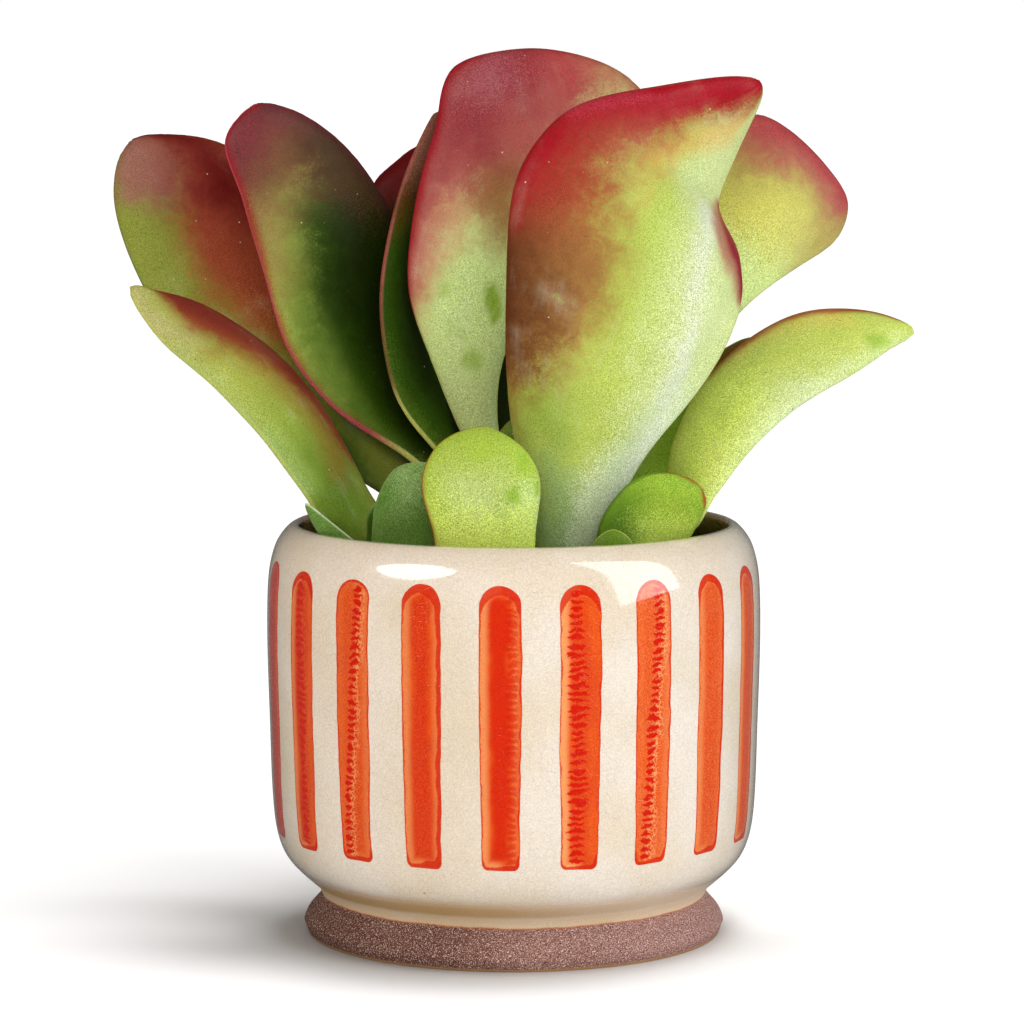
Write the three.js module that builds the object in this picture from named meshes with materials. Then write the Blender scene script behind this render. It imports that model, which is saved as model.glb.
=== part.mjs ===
// A potted paddle plant: a succulent rosette of thick, rounded leaves in a footed ceramic pot.
// Millimetres, +Z up. The origin is the centre of the pot's foot, on the surface that it stands on.
// +X is to the right and -Y towards the viewer, as the plant is seen from its front.
import * as THREE from "three";

// Driving dimensions of the pot.
const potRadius = 70;
const footRadius = 59.9;
const neckRadius = 54.8;
const neckHeight = 10.9;
const openingRadius = 60.8;
const rimHeight = 117;
const wall = 5.5;
const innerRadius = potRadius - wall;
const floorThickness = 9;
const potSides = 60;

// Driving dimensions of the soil and of the stem that stands in it.
const soilHeight = 94;
const soilMound = 1.6;
const clumpHeight = 0.8;
const clumpSpacing = 14;
const soilSides = 30;
const soilRings = 9;
const stemRadius = 8;
const stemDepth = 12;
const stemTop = 129;
const stemSides = 16;
const clearance = 0.3;

// How finely each leaf is divided, and how far in from its margin a leaf is rounded.
const rowsPerPoint = 2;
const leafColumns = 6;
const rimRounding = 6;
const rowStep = 0.02;

// The pot's inside below the soil, from the wall to the flat of the floor, as [radius, height].
const insideProfile = [
  [innerRadius, 82],
  [innerRadius - 1.4, 42],
  [innerRadius - 5, 25],
  [50, floorThickness + 2],
  [42, floorThickness],
];

// Each leaf's seat is its flat end beside the stem: the way that it lies from the stem's axis (azimuth,
// in degrees from +X towards +Y), its height, its width and its distance from the axis (reach).
// Left and right are the points that the leaf's margins pass through, from the stem upwards to the tip.
// Curl is how far the blade's middle stands forward of its margins, as a share of its half width.
const leaves = {
  leaf_front_tall: {
    seat: { azimuth: -82, height: 106, width: 7, reach: 8.1 },
    left: [
      [7, -23, 110], [-1, -33, 152], [-2, -36, 189],
      [1, -36, 216], [14, -32, 233], [39, -22, 240],
    ],
    tip: [68, -8, 241],
    right: [
      [20, -24, 108], [34, -27, 135], [56, -22, 164],
      [63, -13, 183], [56, 2, 206], [62, 6, 223],
    ],
    curl: 0.3,
    thickness: 6,
    color: 0xb4b455,
  },
  leaf_back_tall: {
    seat: { azimuth: 80, height: 117, width: 7, reach: 10.2 },
    left: [
      [-15, 13, 141], [-24, 13, 163], [-30, 13, 182],
      [-28, 17, 207], [-22, 22, 230], [-18, 24, 244],
    ],
    tip: [6, 28, 249],
    right: [
      [-4, 13, 140], [-3, 13, 162], [9, 14, 185],
      [29, 18, 207], [42, 24, 227], [31, 28, 243],
    ],
    curl: 0.1,
    thickness: 6,
    color: 0xa88868,
  },
  leaf_left_dark: {
    seat: { azimuth: 158, height: 116, width: 7, reach: 9.2 },
    left: [
      [-31, 10, 135], [-49, 14, 146], [-64, 18, 163],
      [-72, 22, 187], [-79, 26, 210], [-83, 28, 224],
    ],
    tip: [-74, 32, 234],
    right: [
      [-20, 30, 136], [-27, 34, 152], [-34, 38, 172],
      [-34, 40, 196], [-44, 40, 216], [-59, 36, 230],
    ],
    curl: 0.12,
    thickness: 6,
    color: 0x4d5a30,
  },
  leaf_left_back: {
    seat: { azimuth: 148, height: 107, width: 6, reach: 9.4 },
    left: [
      [-40, 14, 125], [-56, 22, 134], [-79, 32, 152],
      [-102, 42, 171], [-116, 50, 199], [-117, 52, 214],
    ],
    tip: [-112, 54, 223],
    right: [
      [-28, 26, 129], [-33, 36, 143], [-46, 48, 162],
      [-56, 54, 185], [-68, 60, 209], [-88, 58, 223],
    ],
    curl: 0.12,
    thickness: 6,
    color: 0x8c7a4c,
  },
  leaf_left_low: {
    seat: { azimuth: 182, height: 102, width: 7, reach: 9.3 },
    left: [
      [-50, -20, 116], [-57, -26, 126], [-69, -28, 143],
      [-85, -22, 159], [-97, -14, 168], [-105, -6, 177],
    ],
    tip: [-108, 0, 183],
    right: [
      [-36, -6, 118], [-46, -2, 132], [-56, 2, 149],
      [-71, 6, 165], [-88, 8, 176], [-101, 6, 180],
    ],
    curl: 0.2,
    thickness: 6,
    color: 0xa3aa50,
  },
  leaf_right_low: {
    seat: { azimuth: -8, height: 102, width: 7, reach: 9.2 },
    left: [[45, -4, 122], [46, -4, 137], [51, -2, 151], [63, 2, 165], [81, 6, 175], [100, 8, 175]],
    tip: [113, 6, 170],
    right: [
      [49, -20, 116], [54, -24, 124], [65, -24, 139],
      [79, -18, 151], [94, -10, 159], [108, 0, 167],
    ],
    curl: 0.18,
    thickness: 6,
    color: 0xb5c862,
  },
  leaf_right_back: {
    seat: { azimuth: 32, height: 108, width: 6, reach: 10 },
    left: [
      [25, 20, 138], [34, 30, 169], [46, 38, 201],
      [58, 44, 224], [70, 46, 231], [84, 48, 223],
    ],
    tip: [97, 48, 205],
    right: [
      [41, 16, 139], [51, 20, 154], [63, 26, 172],
      [73, 32, 181], [84, 38, 188], [94, 44, 195],
    ],
    curl: 0.15,
    thickness: 6,
    color: 0xaeb85c,
  },
  leaf_right_dark: {
    seat: { azimuth: 0, height: 115, width: 6, reach: 8.5 },
    left: [[30, 8, 129], [39, 10, 146], [50, 12, 159], [60, 14, 165], [68, 17, 168]],
    tip: [79, 19, 164],
    right: [[48, 4, 129], [56, 6, 140], [65, 10, 148], [72, 13, 153], [78, 17, 158]],
    curl: 0.15,
    thickness: 5,
    color: 0x6f8a3a,
  },
  leaf_narrow: {
    seat: { azimuth: 190, height: 122, width: 6, reach: 8 },
    left: [[-23, 4, 138], [-33, 8, 151], [-38, 14, 176], [-36, 20, 196], [-30, 26, 217]],
    tip: [-22, 34, 232],
    right: [[-18, 20, 138], [-22, 27, 155], [-29, 34, 178], [-27, 38, 201], [-23, 39, 221]],
    curl: 0.15,
    thickness: 5,
    color: 0x3f5328,
  },
  leaf_far_back: {
    seat: { azimuth: 95, height: 108, width: 6, reach: 9.8 },
    left: [[-22, 38, 137], [-28, 52, 165], [-38, 60, 191], [-42, 66, 209], [-37, 68, 215]],
    tip: [-26, 70, 222],
    right: [[2, 38, 137], [8, 52, 165], [9, 60, 191], [5, 66, 209], [-10, 70, 220]],
    curl: 0.1,
    thickness: 6,
    color: 0x6d4238,
  },
  leaf_small_front: {
    seat: { azimuth: -106, height: 99, width: 5, reach: 8.4 },
    left: [[-20, -41, 107], [-22, -46, 119], [-25, -48, 134], [-20, -48, 144]],
    tip: [-8, -48, 148],
    right: [[5, -40, 107], [6, -45, 120], [7, -47, 134], [3, -48, 142]],
    curl: 0.15,
    thickness: 5,
    color: 0x9cc43c,
  },
  leaf_small_left: {
    seat: { azimuth: -142, height: 99, width: 4.5, reach: 8.3 },
    left: [[-37, -28, 105], [-39, -33, 120], [-37, -35, 129], [-32, -35, 136]],
    tip: [-24, -35, 137],
    right: [[-24, -30, 106], [-19, -34, 120], [-17, -35, 129], [-19, -35, 135]],
    curl: 0.12,
    thickness: 4,
    color: 0x5f8a55,
  },
  leaf_small_hidden: {
    seat: { azimuth: 163, height: 98.5, width: 3.5, reach: 8.4 },
    left: [[-40, -13, 105], [-41, -20, 117], [-40, -25, 123]],
    tip: [-34, -27, 128],
    right: [[-33, -14, 105], [-30, -23, 117], [-30, -26, 123]],
    curl: 0.12,
    thickness: 3,
    color: 0x56804d,
  },
  leaf_small_right: {
    seat: { azimuth: -38, height: 99, width: 5, reach: 8.4 },
    left: [[21.5, -31, 104], [23.6, -39, 121], [32, -41, 132.5], [41, -38, 135]],
    tip: [50, -32, 131],
    right: [[38, -24, 104], [47, -25, 113], [51, -26, 120], [53, -29, 126]],
    curl: 0.12,
    thickness: 4.5,
    color: 0x7fae3c,
  },
  leaf_tiny_rim: {
    seat: { azimuth: -68, height: 98.5, width: 3.5, reach: 8.3 },
    left: [[19, -43, 103], [22, -47, 117]],
    tip: [27, -47, 120],
    right: [[27, -41, 103], [32, -47, 117]],
    curl: 0.15,
    thickness: 3,
    color: 0x86b04a,
  },
  leaf_small_folded: {
    seat: { azimuth: -167, height: 97.5, width: 3, reach: 8.4 },
    left: [[-48, -24, 110], [-53.5, -26, 117], [-56, -28.5, 121.5]],
    tip: [-57.3, -31, 125.6],
    right: [[-36.5, -28, 108], [-43, -30, 114.2], [-50.5, -31, 120.6]],
    curl: 0.3,
    thickness: 3.5,
    color: 0x5d8a70,
  },
  leaf_rear_right: {
    seat: { azimuth: 60, height: 101, width: 6, reach: 9.4 },
    left: [[28, 34, 126], [44, 58, 158], [50, 74, 190], [42, 82, 210]],
    tip: [28, 84, 218],
    right: [[10, 42, 126], [6, 64, 158], [4, 78, 190], [12, 84, 210]],
    curl: 0.12,
    thickness: 6,
    color: 0xa8b25a,
  },
  leaf_rear_left: {
    seat: { azimuth: 122, height: 101, width: 6, reach: 9.3 },
    left: [[-6, 44, 122], [-8, 72, 146], [-16, 90, 170]],
    tip: [-32, 96, 184],
    right: [[-30, 34, 122], [-46, 60, 146], [-48, 82, 170]],
    curl: 0.12,
    thickness: 6,
    color: 0xa89a5a,
  },
  leaf_rear_small: {
    seat: { azimuth: 94, height: 98.5, width: 4.5, reach: 8.6 },
    left: [[-5, 30, 103], [-7, 44, 113]],
    tip: [1, 53, 128],
    right: [[8, 30, 103], [10, 44, 113]],
    curl: 0.15,
    thickness: 4.5,
    color: 0x7fa648,
  },
  leaf_rear_small_right: {
    seat: { azimuth: 36, height: 98.5, width: 3.5, reach: 8.6 },
    left: [[41, 12, 105], [53, 19, 121], [54, 26, 133]],
    tip: [48, 33, 140],
    right: [[30, 24, 105], [39, 34, 121], [41, 38, 133]],
    curl: 0.15,
    thickness: 4.5,
    color: 0x86b04a,
  },
  leaf_young_front: {
    seat: { azimuth: -90, height: 123, width: 5, reach: 7.3 },
    left: [[-6, -13, 133], [-5, -14, 142]],
    tip: [0, -12, 147],
    right: [[6, -13, 133], [5, -13, 142]],
    curl: 0.2,
    thickness: 3,
    color: 0x8fb84c,
  },
  leaf_young_back: {
    seat: { azimuth: 15, height: 122, width: 5, reach: 7.2 },
    left: [[17, -4, 132], [17, -4, 141]],
    tip: [14, 1, 146],
    right: [[13, 7, 132], [13, 6, 141]],
    curl: 0.2,
    thickness: 3,
    color: 0x8fb84c,
  },
};

// A solid of revolution about the Z axis. The profile goes anticlockwise as [radius, height].
function turned(profile, sides) {
  const geometry = new THREE.LatheGeometry(
    profile.map(([radius, height]) => new THREE.Vector2(radius, height)),
    sides,
  );
  return geometry.rotateX(Math.PI / 2);
}

// From the underside up the outside to the rim, and down the inside to the floor.
function potGeometry() {
  return turned(
    [
      [0, 0],
      [footRadius - 1.2, 0],
      [footRadius, 3.2],
      [footRadius - 1, 5.6],
      [footRadius - 2.9, 7.9],
      [footRadius - 4.4, 9.7],
      [neckRadius, neckHeight],
      [neckRadius + 0.6, 12.7],
      [57.7, 15.2],
      [61.3, 18.4],
      [64.8, 22.3],
      [67.1, 27.5],
      [68.6, 37.3],
      [69.4, 58],
      [potRadius, 86],
      [69.8, 97],
      [69.1, 105],
      [68.2, 108.9],
      [67.1, 111.8],
      [65.7, 114],
      [64.2, 115.7],
      [62.8, rimHeight - 0.3],
      [61.6, rimHeight],
      [openingRadius, rimHeight - 0.7],
      [openingRadius, rimHeight - 2.2],
      [openingRadius + 1.6, 109],
      [innerRadius - 0.8, 99],
      ...insideProfile,
      [0, floorThickness],
    ],
    potSides,
  );
}

// The potting mix fills the pot to its inside wall. Its clumped top is mounded round a hole for the stem.
function soilGeometry() {
  const outer = insideProfile
    .toReversed()
    .map(([radius, height]) => [radius - clearance, height + clearance]);
  const holeRadius = stemRadius + clearance;
  const topRadius = innerRadius - clearance - 1;
  const top = [];
  for (let ring = 0; ring <= soilRings; ring++) {
    top.push([THREE.MathUtils.lerp(topRadius, holeRadius, ring / soilRings), soilHeight]);
  }
  const geometry = turned(
    [
      [0, floorThickness + clearance],
      ...outer,
      ...top,
      [holeRadius, soilHeight - stemDepth],
      [0, soilHeight - stemDepth],
    ],
    soilSides,
  );
  const position = geometry.attributes.position;
  const wave = (2 * Math.PI) / clumpSpacing;
  for (let i = 0; i < position.count; i++) {
    const x = position.getX(i);
    const y = position.getY(i);
    const onTop = Math.abs(position.getZ(i) - soilHeight) < 0.01;
    if (!onTop) continue;
    const inside = 1 - (Math.hypot(x, y) / innerRadius) ** 2;
    const clump = Math.sin(wave * x + 1) * Math.cos(wave * (0.85 * y - 0.25 * x));
    const rise = soilMound * inside + clumpHeight * clump * Math.min(1, inside * 4);
    position.setZ(i, soilHeight + rise);
  }
  return geometry;
}

function stemGeometry() {
  const foot = soilHeight - stemDepth + clearance;
  return turned(
    [
      [0, foot],
      [stemRadius - 0.6, foot],
      [stemRadius, soilHeight],
      [stemRadius - 0.5, 110],
      [stemRadius - 1.5, 122],
      [stemRadius - 3, stemTop - 1.5],
      [0, stemTop],
    ],
    stemSides,
  );
}

// The two ends of a leaf's flat seat beside the stem, first the one that is nearer to its left margin.
function seatEnds({ azimuth, height, width, reach }, leftStart) {
  const angle = THREE.MathUtils.degToRad(azimuth);
  const centre = new THREE.Vector3(reach * Math.cos(angle), reach * Math.sin(angle), height);
  const half = new THREE.Vector3(-Math.sin(angle), Math.cos(angle), 0).multiplyScalar(width / 2);
  const ends = [centre.clone().sub(half), centre.clone().add(half)];
  return ends.sort((a, b) => a.distanceTo(leftStart) - b.distanceTo(leftStart));
}

// The point halfway between a leaf's margins. Along goes from 0 at the stem to 1 at the tip.
function middleAt(margin, along) {
  return margin.getPoint(along / 2).lerp(margin.getPoint(1 - along / 2), 0.5);
}

// A ring of points round the blade: across its front face from the left margin to the right one, and back
// across its back face. The section is a shallow arch of even thickness, rounded off towards both margins.
function leafRing(margin, along, curl, thickness) {
  const middle = middleAt(margin, along);
  const across = margin.getPoint(1 - along / 2).sub(margin.getPoint(along / 2));
  const halfWidth = across.length() / 2;
  across.normalize();
  const upward = middleAt(margin, along + rowStep).sub(middleAt(margin, Math.max(0, along - rowStep)));
  const facing = across.clone().cross(upward).normalize();
  const front = [];
  const back = [];
  for (let column = 0; column <= leafColumns; column++) {
    const side = -Math.cos((Math.PI * column) / leafColumns);
    const arch = curl * halfWidth * (1 - side * side);
    const point = middle.clone().addScaledVector(across, side * halfWidth).addScaledVector(facing, arch);
    const inward = Math.min(1, (halfWidth * (1 - Math.abs(side))) / rimRounding);
    const half = (thickness / 2) * Math.sqrt(1 - (1 - inward) ** 2);
    const normal = facing.clone().addScaledVector(across, 2 * curl * side).normalize();
    front.push(point.clone().addScaledVector(normal, half));
    if (column > 0 && column < leafColumns) back.unshift(point.clone().addScaledVector(normal, -half));
  }
  return [...front, ...back];
}

// A leaf is a fleshy blade between its two margins, which are one smooth curve that turns at the tip.
function leafGeometry({ seat, left, tip, right, curl, thickness }) {
  const outline = [...left, tip, ...right.toReversed()].map((point) => new THREE.Vector3(...point));
  const [leftEnd, rightEnd] = seatEnds(seat, outline[0]);
  const margin = new THREE.CatmullRomCurve3([leftEnd, ...outline, rightEnd]);
  const rows = rowsPerPoint * (left.length + 1);
  const points = [];
  for (let row = 0; row < rows; row++) points.push(...leafRing(margin, row / rows, curl, thickness));
  points.push(margin.getPoint(0.5));

  const ring = 2 * leafColumns;
  const tipVertex = points.length - 1;
  const faces = [];
  for (let row = 0; row < rows; row++) {
    for (let k = 0; k < ring; k++) {
      const a = row * ring + k;
      const b = row * ring + ((k + 1) % ring);
      // Both faces are split along the same diagonal, so that the thin blade never crosses itself.
      if (row === rows - 1) faces.push(a, b, tipVertex);
      else if (k < leafColumns) faces.push(a, b, b + ring, a, b + ring, a + ring);
      else faces.push(a, b, a + ring, b, b + ring, a + ring);
    }
  }
  // The flat end at the stem joins the first ring's front points to its back points.
  faces.push(1, 0, ring - 1);
  for (let k = 1; k < leafColumns; k++) {
    faces.push(k + 1, k, ring - k);
    if (k < leafColumns - 1) faces.push(k + 1, ring - k, ring - k - 1);
  }
  const geometry = new THREE.BufferGeometry().setFromPoints(points).setIndex(faces);
  geometry.computeVertexNormals();
  return geometry;
}

const plant = new THREE.Group();
plant.name = "potted_paddle_plant";

function addPiece(name, geometry, color, roughness) {
  const material = new THREE.MeshStandardMaterial({ color, roughness, metalness: 0 });
  const mesh = new THREE.Mesh(geometry, material);
  mesh.name = name;
  plant.add(mesh);
}

addPiece("pot", potGeometry(), 0xe8dcc6, 0.15);
addPiece("soil", soilGeometry(), 0x33261c, 0.95);
addPiece("stem", stemGeometry(), 0x8d8a5a, 0.6);
for (const [name, leaf] of Object.entries(leaves)) addPiece(name, leafGeometry(leaf), leaf.color, 0.5);

export default plant;
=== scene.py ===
import math
import random
import bmesh
import bpy
import numpy as np
from mathutils import Matrix, Vector, noise as solidNoise


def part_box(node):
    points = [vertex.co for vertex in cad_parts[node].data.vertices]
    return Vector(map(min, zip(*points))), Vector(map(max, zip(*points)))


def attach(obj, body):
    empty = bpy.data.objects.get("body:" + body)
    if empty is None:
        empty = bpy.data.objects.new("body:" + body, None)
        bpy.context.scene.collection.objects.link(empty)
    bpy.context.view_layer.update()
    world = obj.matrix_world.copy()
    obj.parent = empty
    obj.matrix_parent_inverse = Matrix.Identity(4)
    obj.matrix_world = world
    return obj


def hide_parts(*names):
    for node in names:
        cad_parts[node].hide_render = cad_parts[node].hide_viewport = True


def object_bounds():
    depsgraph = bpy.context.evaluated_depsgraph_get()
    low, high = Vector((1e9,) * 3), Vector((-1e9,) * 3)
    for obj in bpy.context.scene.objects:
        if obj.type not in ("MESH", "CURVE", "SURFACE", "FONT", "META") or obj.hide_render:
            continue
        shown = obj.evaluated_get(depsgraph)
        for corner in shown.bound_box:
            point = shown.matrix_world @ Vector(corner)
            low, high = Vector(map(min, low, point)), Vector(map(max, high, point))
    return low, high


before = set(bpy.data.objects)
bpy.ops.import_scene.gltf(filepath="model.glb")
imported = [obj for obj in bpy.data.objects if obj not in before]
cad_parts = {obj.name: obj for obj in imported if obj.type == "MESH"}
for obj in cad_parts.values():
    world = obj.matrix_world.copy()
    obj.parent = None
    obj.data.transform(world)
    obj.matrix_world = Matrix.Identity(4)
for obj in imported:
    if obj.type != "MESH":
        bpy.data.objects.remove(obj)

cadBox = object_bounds()
scene = bpy.context.scene
mm = 0.001


# Helpers for meshes

def makePiece(name, points, faces, material, nodes):
    # a smooth mesh at the origin that rides on the part's body and stands for its CAD nodes
    mesh = bpy.data.meshes.new(name)
    mesh.from_pydata([tuple(point) for point in points], [], faces)
    mesh.shade_smooth()
    mesh.materials.append(material)
    piece = bpy.data.objects.new(name, mesh)
    scene.collection.objects.link(piece)
    handOver(piece, nodes)
    return piece


def handOver(piece, nodes):
    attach(piece, "root")
    if nodes:
        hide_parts(*nodes)


def circlePoint(radius, height, number, count):
    angle = 2 * math.pi * number / count
    return radius * math.cos(angle), radius * math.sin(angle), height


def ringFaces(rings, sides, joined=False):
    # the faces from each ring of points to the next, and from the last to the first where they are joined
    faces = []
    for ring in range(rings if joined else rings - 1):
        here, there = ring * sides, (ring + 1) % rings * sides
        for i in range(sides):
            j = (i + 1) % sides
            faces.append((here + i, here + j, there + j, there + i))
    return faces


def addValues(mesh, name, values, domain="POINT"):
    # a number for each point or face, which materials read by its name
    attribute = mesh.attributes.new(name, "FLOAT", domain)
    attribute.data.foreach_set("value", np.asarray(values, np.float32).ravel())


def smoothCurve(points, knots, places):
    # the natural cubic spline through the points at the knots, read at the places
    count = len(points)
    step = np.diff(knots)
    slope = np.diff(points, axis=0) / step[:, None]
    system = np.eye(count)
    turn = np.zeros((count, points.shape[1]))
    for i in range(1, count - 1):
        system[i, i - 1:i + 2] = step[i - 1], 2 * (step[i - 1] + step[i]), step[i]
        turn[i] = 6 * (slope[i] - slope[i - 1])
    bend = np.linalg.solve(system, turn)
    cell = np.clip(np.searchsorted(knots, places, side="right") - 1, 0, count - 2)
    width = step[cell][:, None]
    b = (places - knots[cell])[:, None] / width
    a = 1 - b
    straight = a * points[cell] + b * points[cell + 1]
    return straight + ((a ** 3 - a) * bend[cell] + (b ** 3 - b) * bend[cell + 1]) * width ** 2 / 6


def distances(points):
    # how far along a line of points each one lies
    return np.concatenate([[0], np.cumsum(np.linalg.norm(np.diff(points, axis=0), axis=1))])


# Helpers for node trees

def hexColor(code):
    # a colour such as "EADFCB" as the linear numbers that shaders take
    parts = [int(code[i:i + 2], 16) / 255 for i in (0, 2, 4)]
    return [c / 12.92 if c < 0.04045 else ((c + 0.055) / 1.055) ** 2.4 for c in parts] + [1.0]


def hexColors(codes):
    return [hexColor(code) for code in codes]


def addNode(tree, kind, given=None, **settings):
    node = tree.nodes.new(kind)
    for name, value in settings.items():
        setattr(node, name, value)
    for key, value in (given or {}).items():
        if isinstance(value, bpy.types.NodeSocket):
            tree.links.new(value, node.inputs[key])
        else:
            node.inputs[key].default_value = value
    return node


def calc(tree, operation, a, b=0.0, c=0.0):
    return addNode(tree, "ShaderNodeMath", {0: a, 1: b, 2: c}, operation=operation).outputs[0]


def times(tree, value, *others):
    for other in others:
        value = calc(tree, "MULTIPLY", value, other)
    return value


def shift(tree, value, amount, middle=0.5, base=0.0):
    # base + (value - middle) * amount, which turns a noise into a wobble of base
    centred = calc(tree, "SUBTRACT", value, middle)
    return calc(tree, "MULTIPLY_ADD", centred, amount, base)


def ramp(tree, value, start, end, low=0.0, high=1.0):
    # a smooth step from low at start to high at end
    given = {0: value, 1: start, 2: end, 3: low, 4: high}
    return addNode(tree, "ShaderNodeMapRange", given, interpolation_type="SMOOTHSTEP").outputs[0]


def mixColor(tree, factor, a, b):
    given = {0: factor, 6: a, 7: b}
    return addNode(tree, "ShaderNodeMix", given, data_type="RGBA").outputs[2]


def mixValue(tree, factor, a, b):
    return addNode(tree, "ShaderNodeMix", {0: factor, 2: a, 3: b}, data_type="FLOAT").outputs[0]


def noiseValue(tree, place, size, detail=2.0, rough=0.5, bend=0.0):
    # size is in millimetres
    given = {"Vector": place, "Scale": 1 / size, "Detail": detail, "Roughness": rough, "Distortion": bend}
    return addNode(tree, "ShaderNodeTexNoise", given).outputs["Fac"]


def readValue(tree, name):
    return addNode(tree, "ShaderNodeAttribute", attribute_name=name).outputs["Fac"]


def cellPattern(tree, place, size, feature="F1"):
    # cells of that size in millimetres: the distance to their middle points or borders, and a colour for each
    given = {"Vector": place, "Scale": 1 / size}
    return addNode(tree, "ShaderNodeTexVoronoi", given, feature=feature).outputs


def bendPlace(tree, place, size, amount, detail=2.0):
    # the place moved a little by a noise of that size, in millimetres
    bent = addNode(tree, "ShaderNodeTexNoise", {"Vector": place, "Scale": 1 / size, "Detail": detail})
    given = {0: bent.outputs["Color"], 1: (amount, amount, amount), 2: place}
    return addNode(tree, "ShaderNodeVectorMath", given, operation="MULTIPLY_ADD").outputs[0]


def splitPlace(tree, place):
    return addNode(tree, "ShaderNodeSeparateXYZ", {0: place}).outputs


def placeInMm(tree):
    coordinates = addNode(tree, "ShaderNodeTexCoord").outputs["Object"]
    return addNode(tree, "ShaderNodeVectorMath", {0: coordinates, 3: 1000.0}, operation="SCALE").outputs[0]


def brighten(tree, color, value):
    return addNode(tree, "ShaderNodeHueSaturation", {"Color": color, "Value": value}).outputs[0]


def startGroup(name, inputs, outputs):
    # an empty shader group with named sockets of each kind, and what its nodes read and write
    group = bpy.data.node_groups.new(name, "ShaderNodeTree")
    for way, sockets in (("INPUT", inputs), ("OUTPUT", outputs)):
        for kind, labels in sockets.items():
            for label in labels:
                group.interface.new_socket(label, in_out=way, socket_type="NodeSocket" + kind)
    return group, group.nodes.new("NodeGroupInput").outputs, group.nodes.new("NodeGroupOutput").inputs


def useGroup(tree, group, values):
    return addNode(tree, "ShaderNodeGroup", values, node_tree=group).outputs


def newMaterial(name, **constants):
    # a material with a Principled shader whose constant sockets are set here
    material = bpy.data.materials.new(name)
    material.use_nodes = True
    shader = material.node_tree.nodes["Principled BSDF"]
    for label, value in constants.items():
        shader.inputs[label.replace("_", " ")].default_value = value
    return material, material.node_tree, shader


def addBump(tree, shader, height, distance, strength=1.0):
    # distance is how far the height's whole range stands out, in millimetres
    given = {"Height": height, "Distance": distance * mm, "Strength": strength}
    bump = addNode(tree, "ShaderNodeBump", given)
    tree.links.new(bump.outputs[0], shader.inputs["Normal"])


# Camera, light and floor

view = {
    "place": (-0.0005, -1.167, 0.251),
    "aim": (-0.0005, 0.0, 0.1197),
    "lens": 145.6,
    "sensor": 36.0,
}


def makeCamera():
    camera = bpy.data.cameras.new("camera")
    camera.lens = view["lens"]
    camera.sensor_width = view["sensor"]
    camera.clip_end = 50
    holder = bpy.data.objects.new("camera", camera)
    holder.location = view["place"]
    look = Vector(view["aim"]) - Vector(view["place"])
    holder.rotation_euler = look.to_track_quat("-Z", "Y").to_euler()
    scene.collection.objects.link(holder)
    scene.camera = holder


studio = {
    # softboxes light the object but not the floor, and their gleams are what the glaze mirrors of them.
    # light and gleam are (radiance, colour), and heading is the direction that they shine in
    "boxes": {
        "right": {
            "shape": "RECTANGLE", "width": 1.56, "height": 1.59, "roll": 9,
            "place": (1.48, -0.58, 1.03), "heading": (-0.307, 0.951, -0.02),
            "light": (3.6, "F8F9FF"), "gleam": (4.6, "FAFCFF"),
        },
        "left": {
            "shape": "ELLIPSE", "width": 0.78, "height": 0.66, "roll": 0,
            "place": (-0.787, -0.617, 0.787), "heading": (0.67, 0.742, 0.0),
            "light": (2.8, "FFDFB2"), "gleam": (5.6, "FAFCFF"),
        },
        "front": {
            "shape": "RECTANGLE", "width": 1.4, "height": 1.0, "roll": 0,
            "place": (0.1, -2.0, 0.75), "heading": (-0.05, 0.95, -0.3),
            "light": (3.7, "FFFDFC"),
        },
    },
    "gleamNearer": 0.02,
    # suns on the floor alone: (turn from the front to the right, rise, strength, softness), three in degrees
    "floorLights": {
        "right": (64, 74, 1.5, 36),
        "backRight": (150, 76, 1.1, 22),
        "above": (165, 82, 0.6, 15),
    },
    "sky": 0.3,                # how strong the backdrop's white is as light,
    "skyGloss": (0.05, 0.12),  # in reflections, before the object and behind it,
    "backdrop": 1.0,           # and in the picture
    "floorColor": "F4F4F4",
    "floorSize": 60.0,
}


def addLamp(name, kind, place, heading, roll=0.0):
    lamp = bpy.data.lights.new(name, kind)
    holder = bpy.data.objects.new(name, lamp)
    holder.location = place
    facing = Vector(heading).to_track_quat("-Z", "Y").to_matrix()
    holder.rotation_euler = (facing @ Matrix.Rotation(math.radians(roll), 3, "Z")).to_euler()
    holder.visible_camera = False
    scene.collection.objects.link(holder)
    return lamp, holder


def addSoftbox(name, box, purpose, receivers):
    gleam = purpose == "gleam"
    radiance, color = box[purpose]
    place = Vector(box["place"]) + Vector(box["heading"]) * (studio["gleamNearer"] if gleam else 0)
    lamp, holder = addLamp(name, "AREA", place, box["heading"], box["roll"])
    lamp.shape = box["shape"]
    lamp.size = box["width"]
    lamp.size_y = box["height"]
    lamp.energy = math.pi * box["width"] * box["height"] * radiance
    lamp.color = hexColor(color)[:3]
    holder.visible_glossy = gleam
    holder.visible_diffuse = not gleam
    holder.light_linking.receiver_collection = receivers


def addFloorSun(name, turn, rise, strength, softness, receivers):
    turn, rise = math.radians(turn), math.radians(rise)
    flat = math.cos(rise)
    source = Vector((math.sin(turn) * flat, -math.cos(turn) * flat, math.sin(rise)))
    lamp, holder = addLamp(name, "SUN", source, -source)
    lamp.energy = strength
    lamp.angle = math.radians(softness)
    holder.light_linking.receiver_collection = receivers


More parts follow.
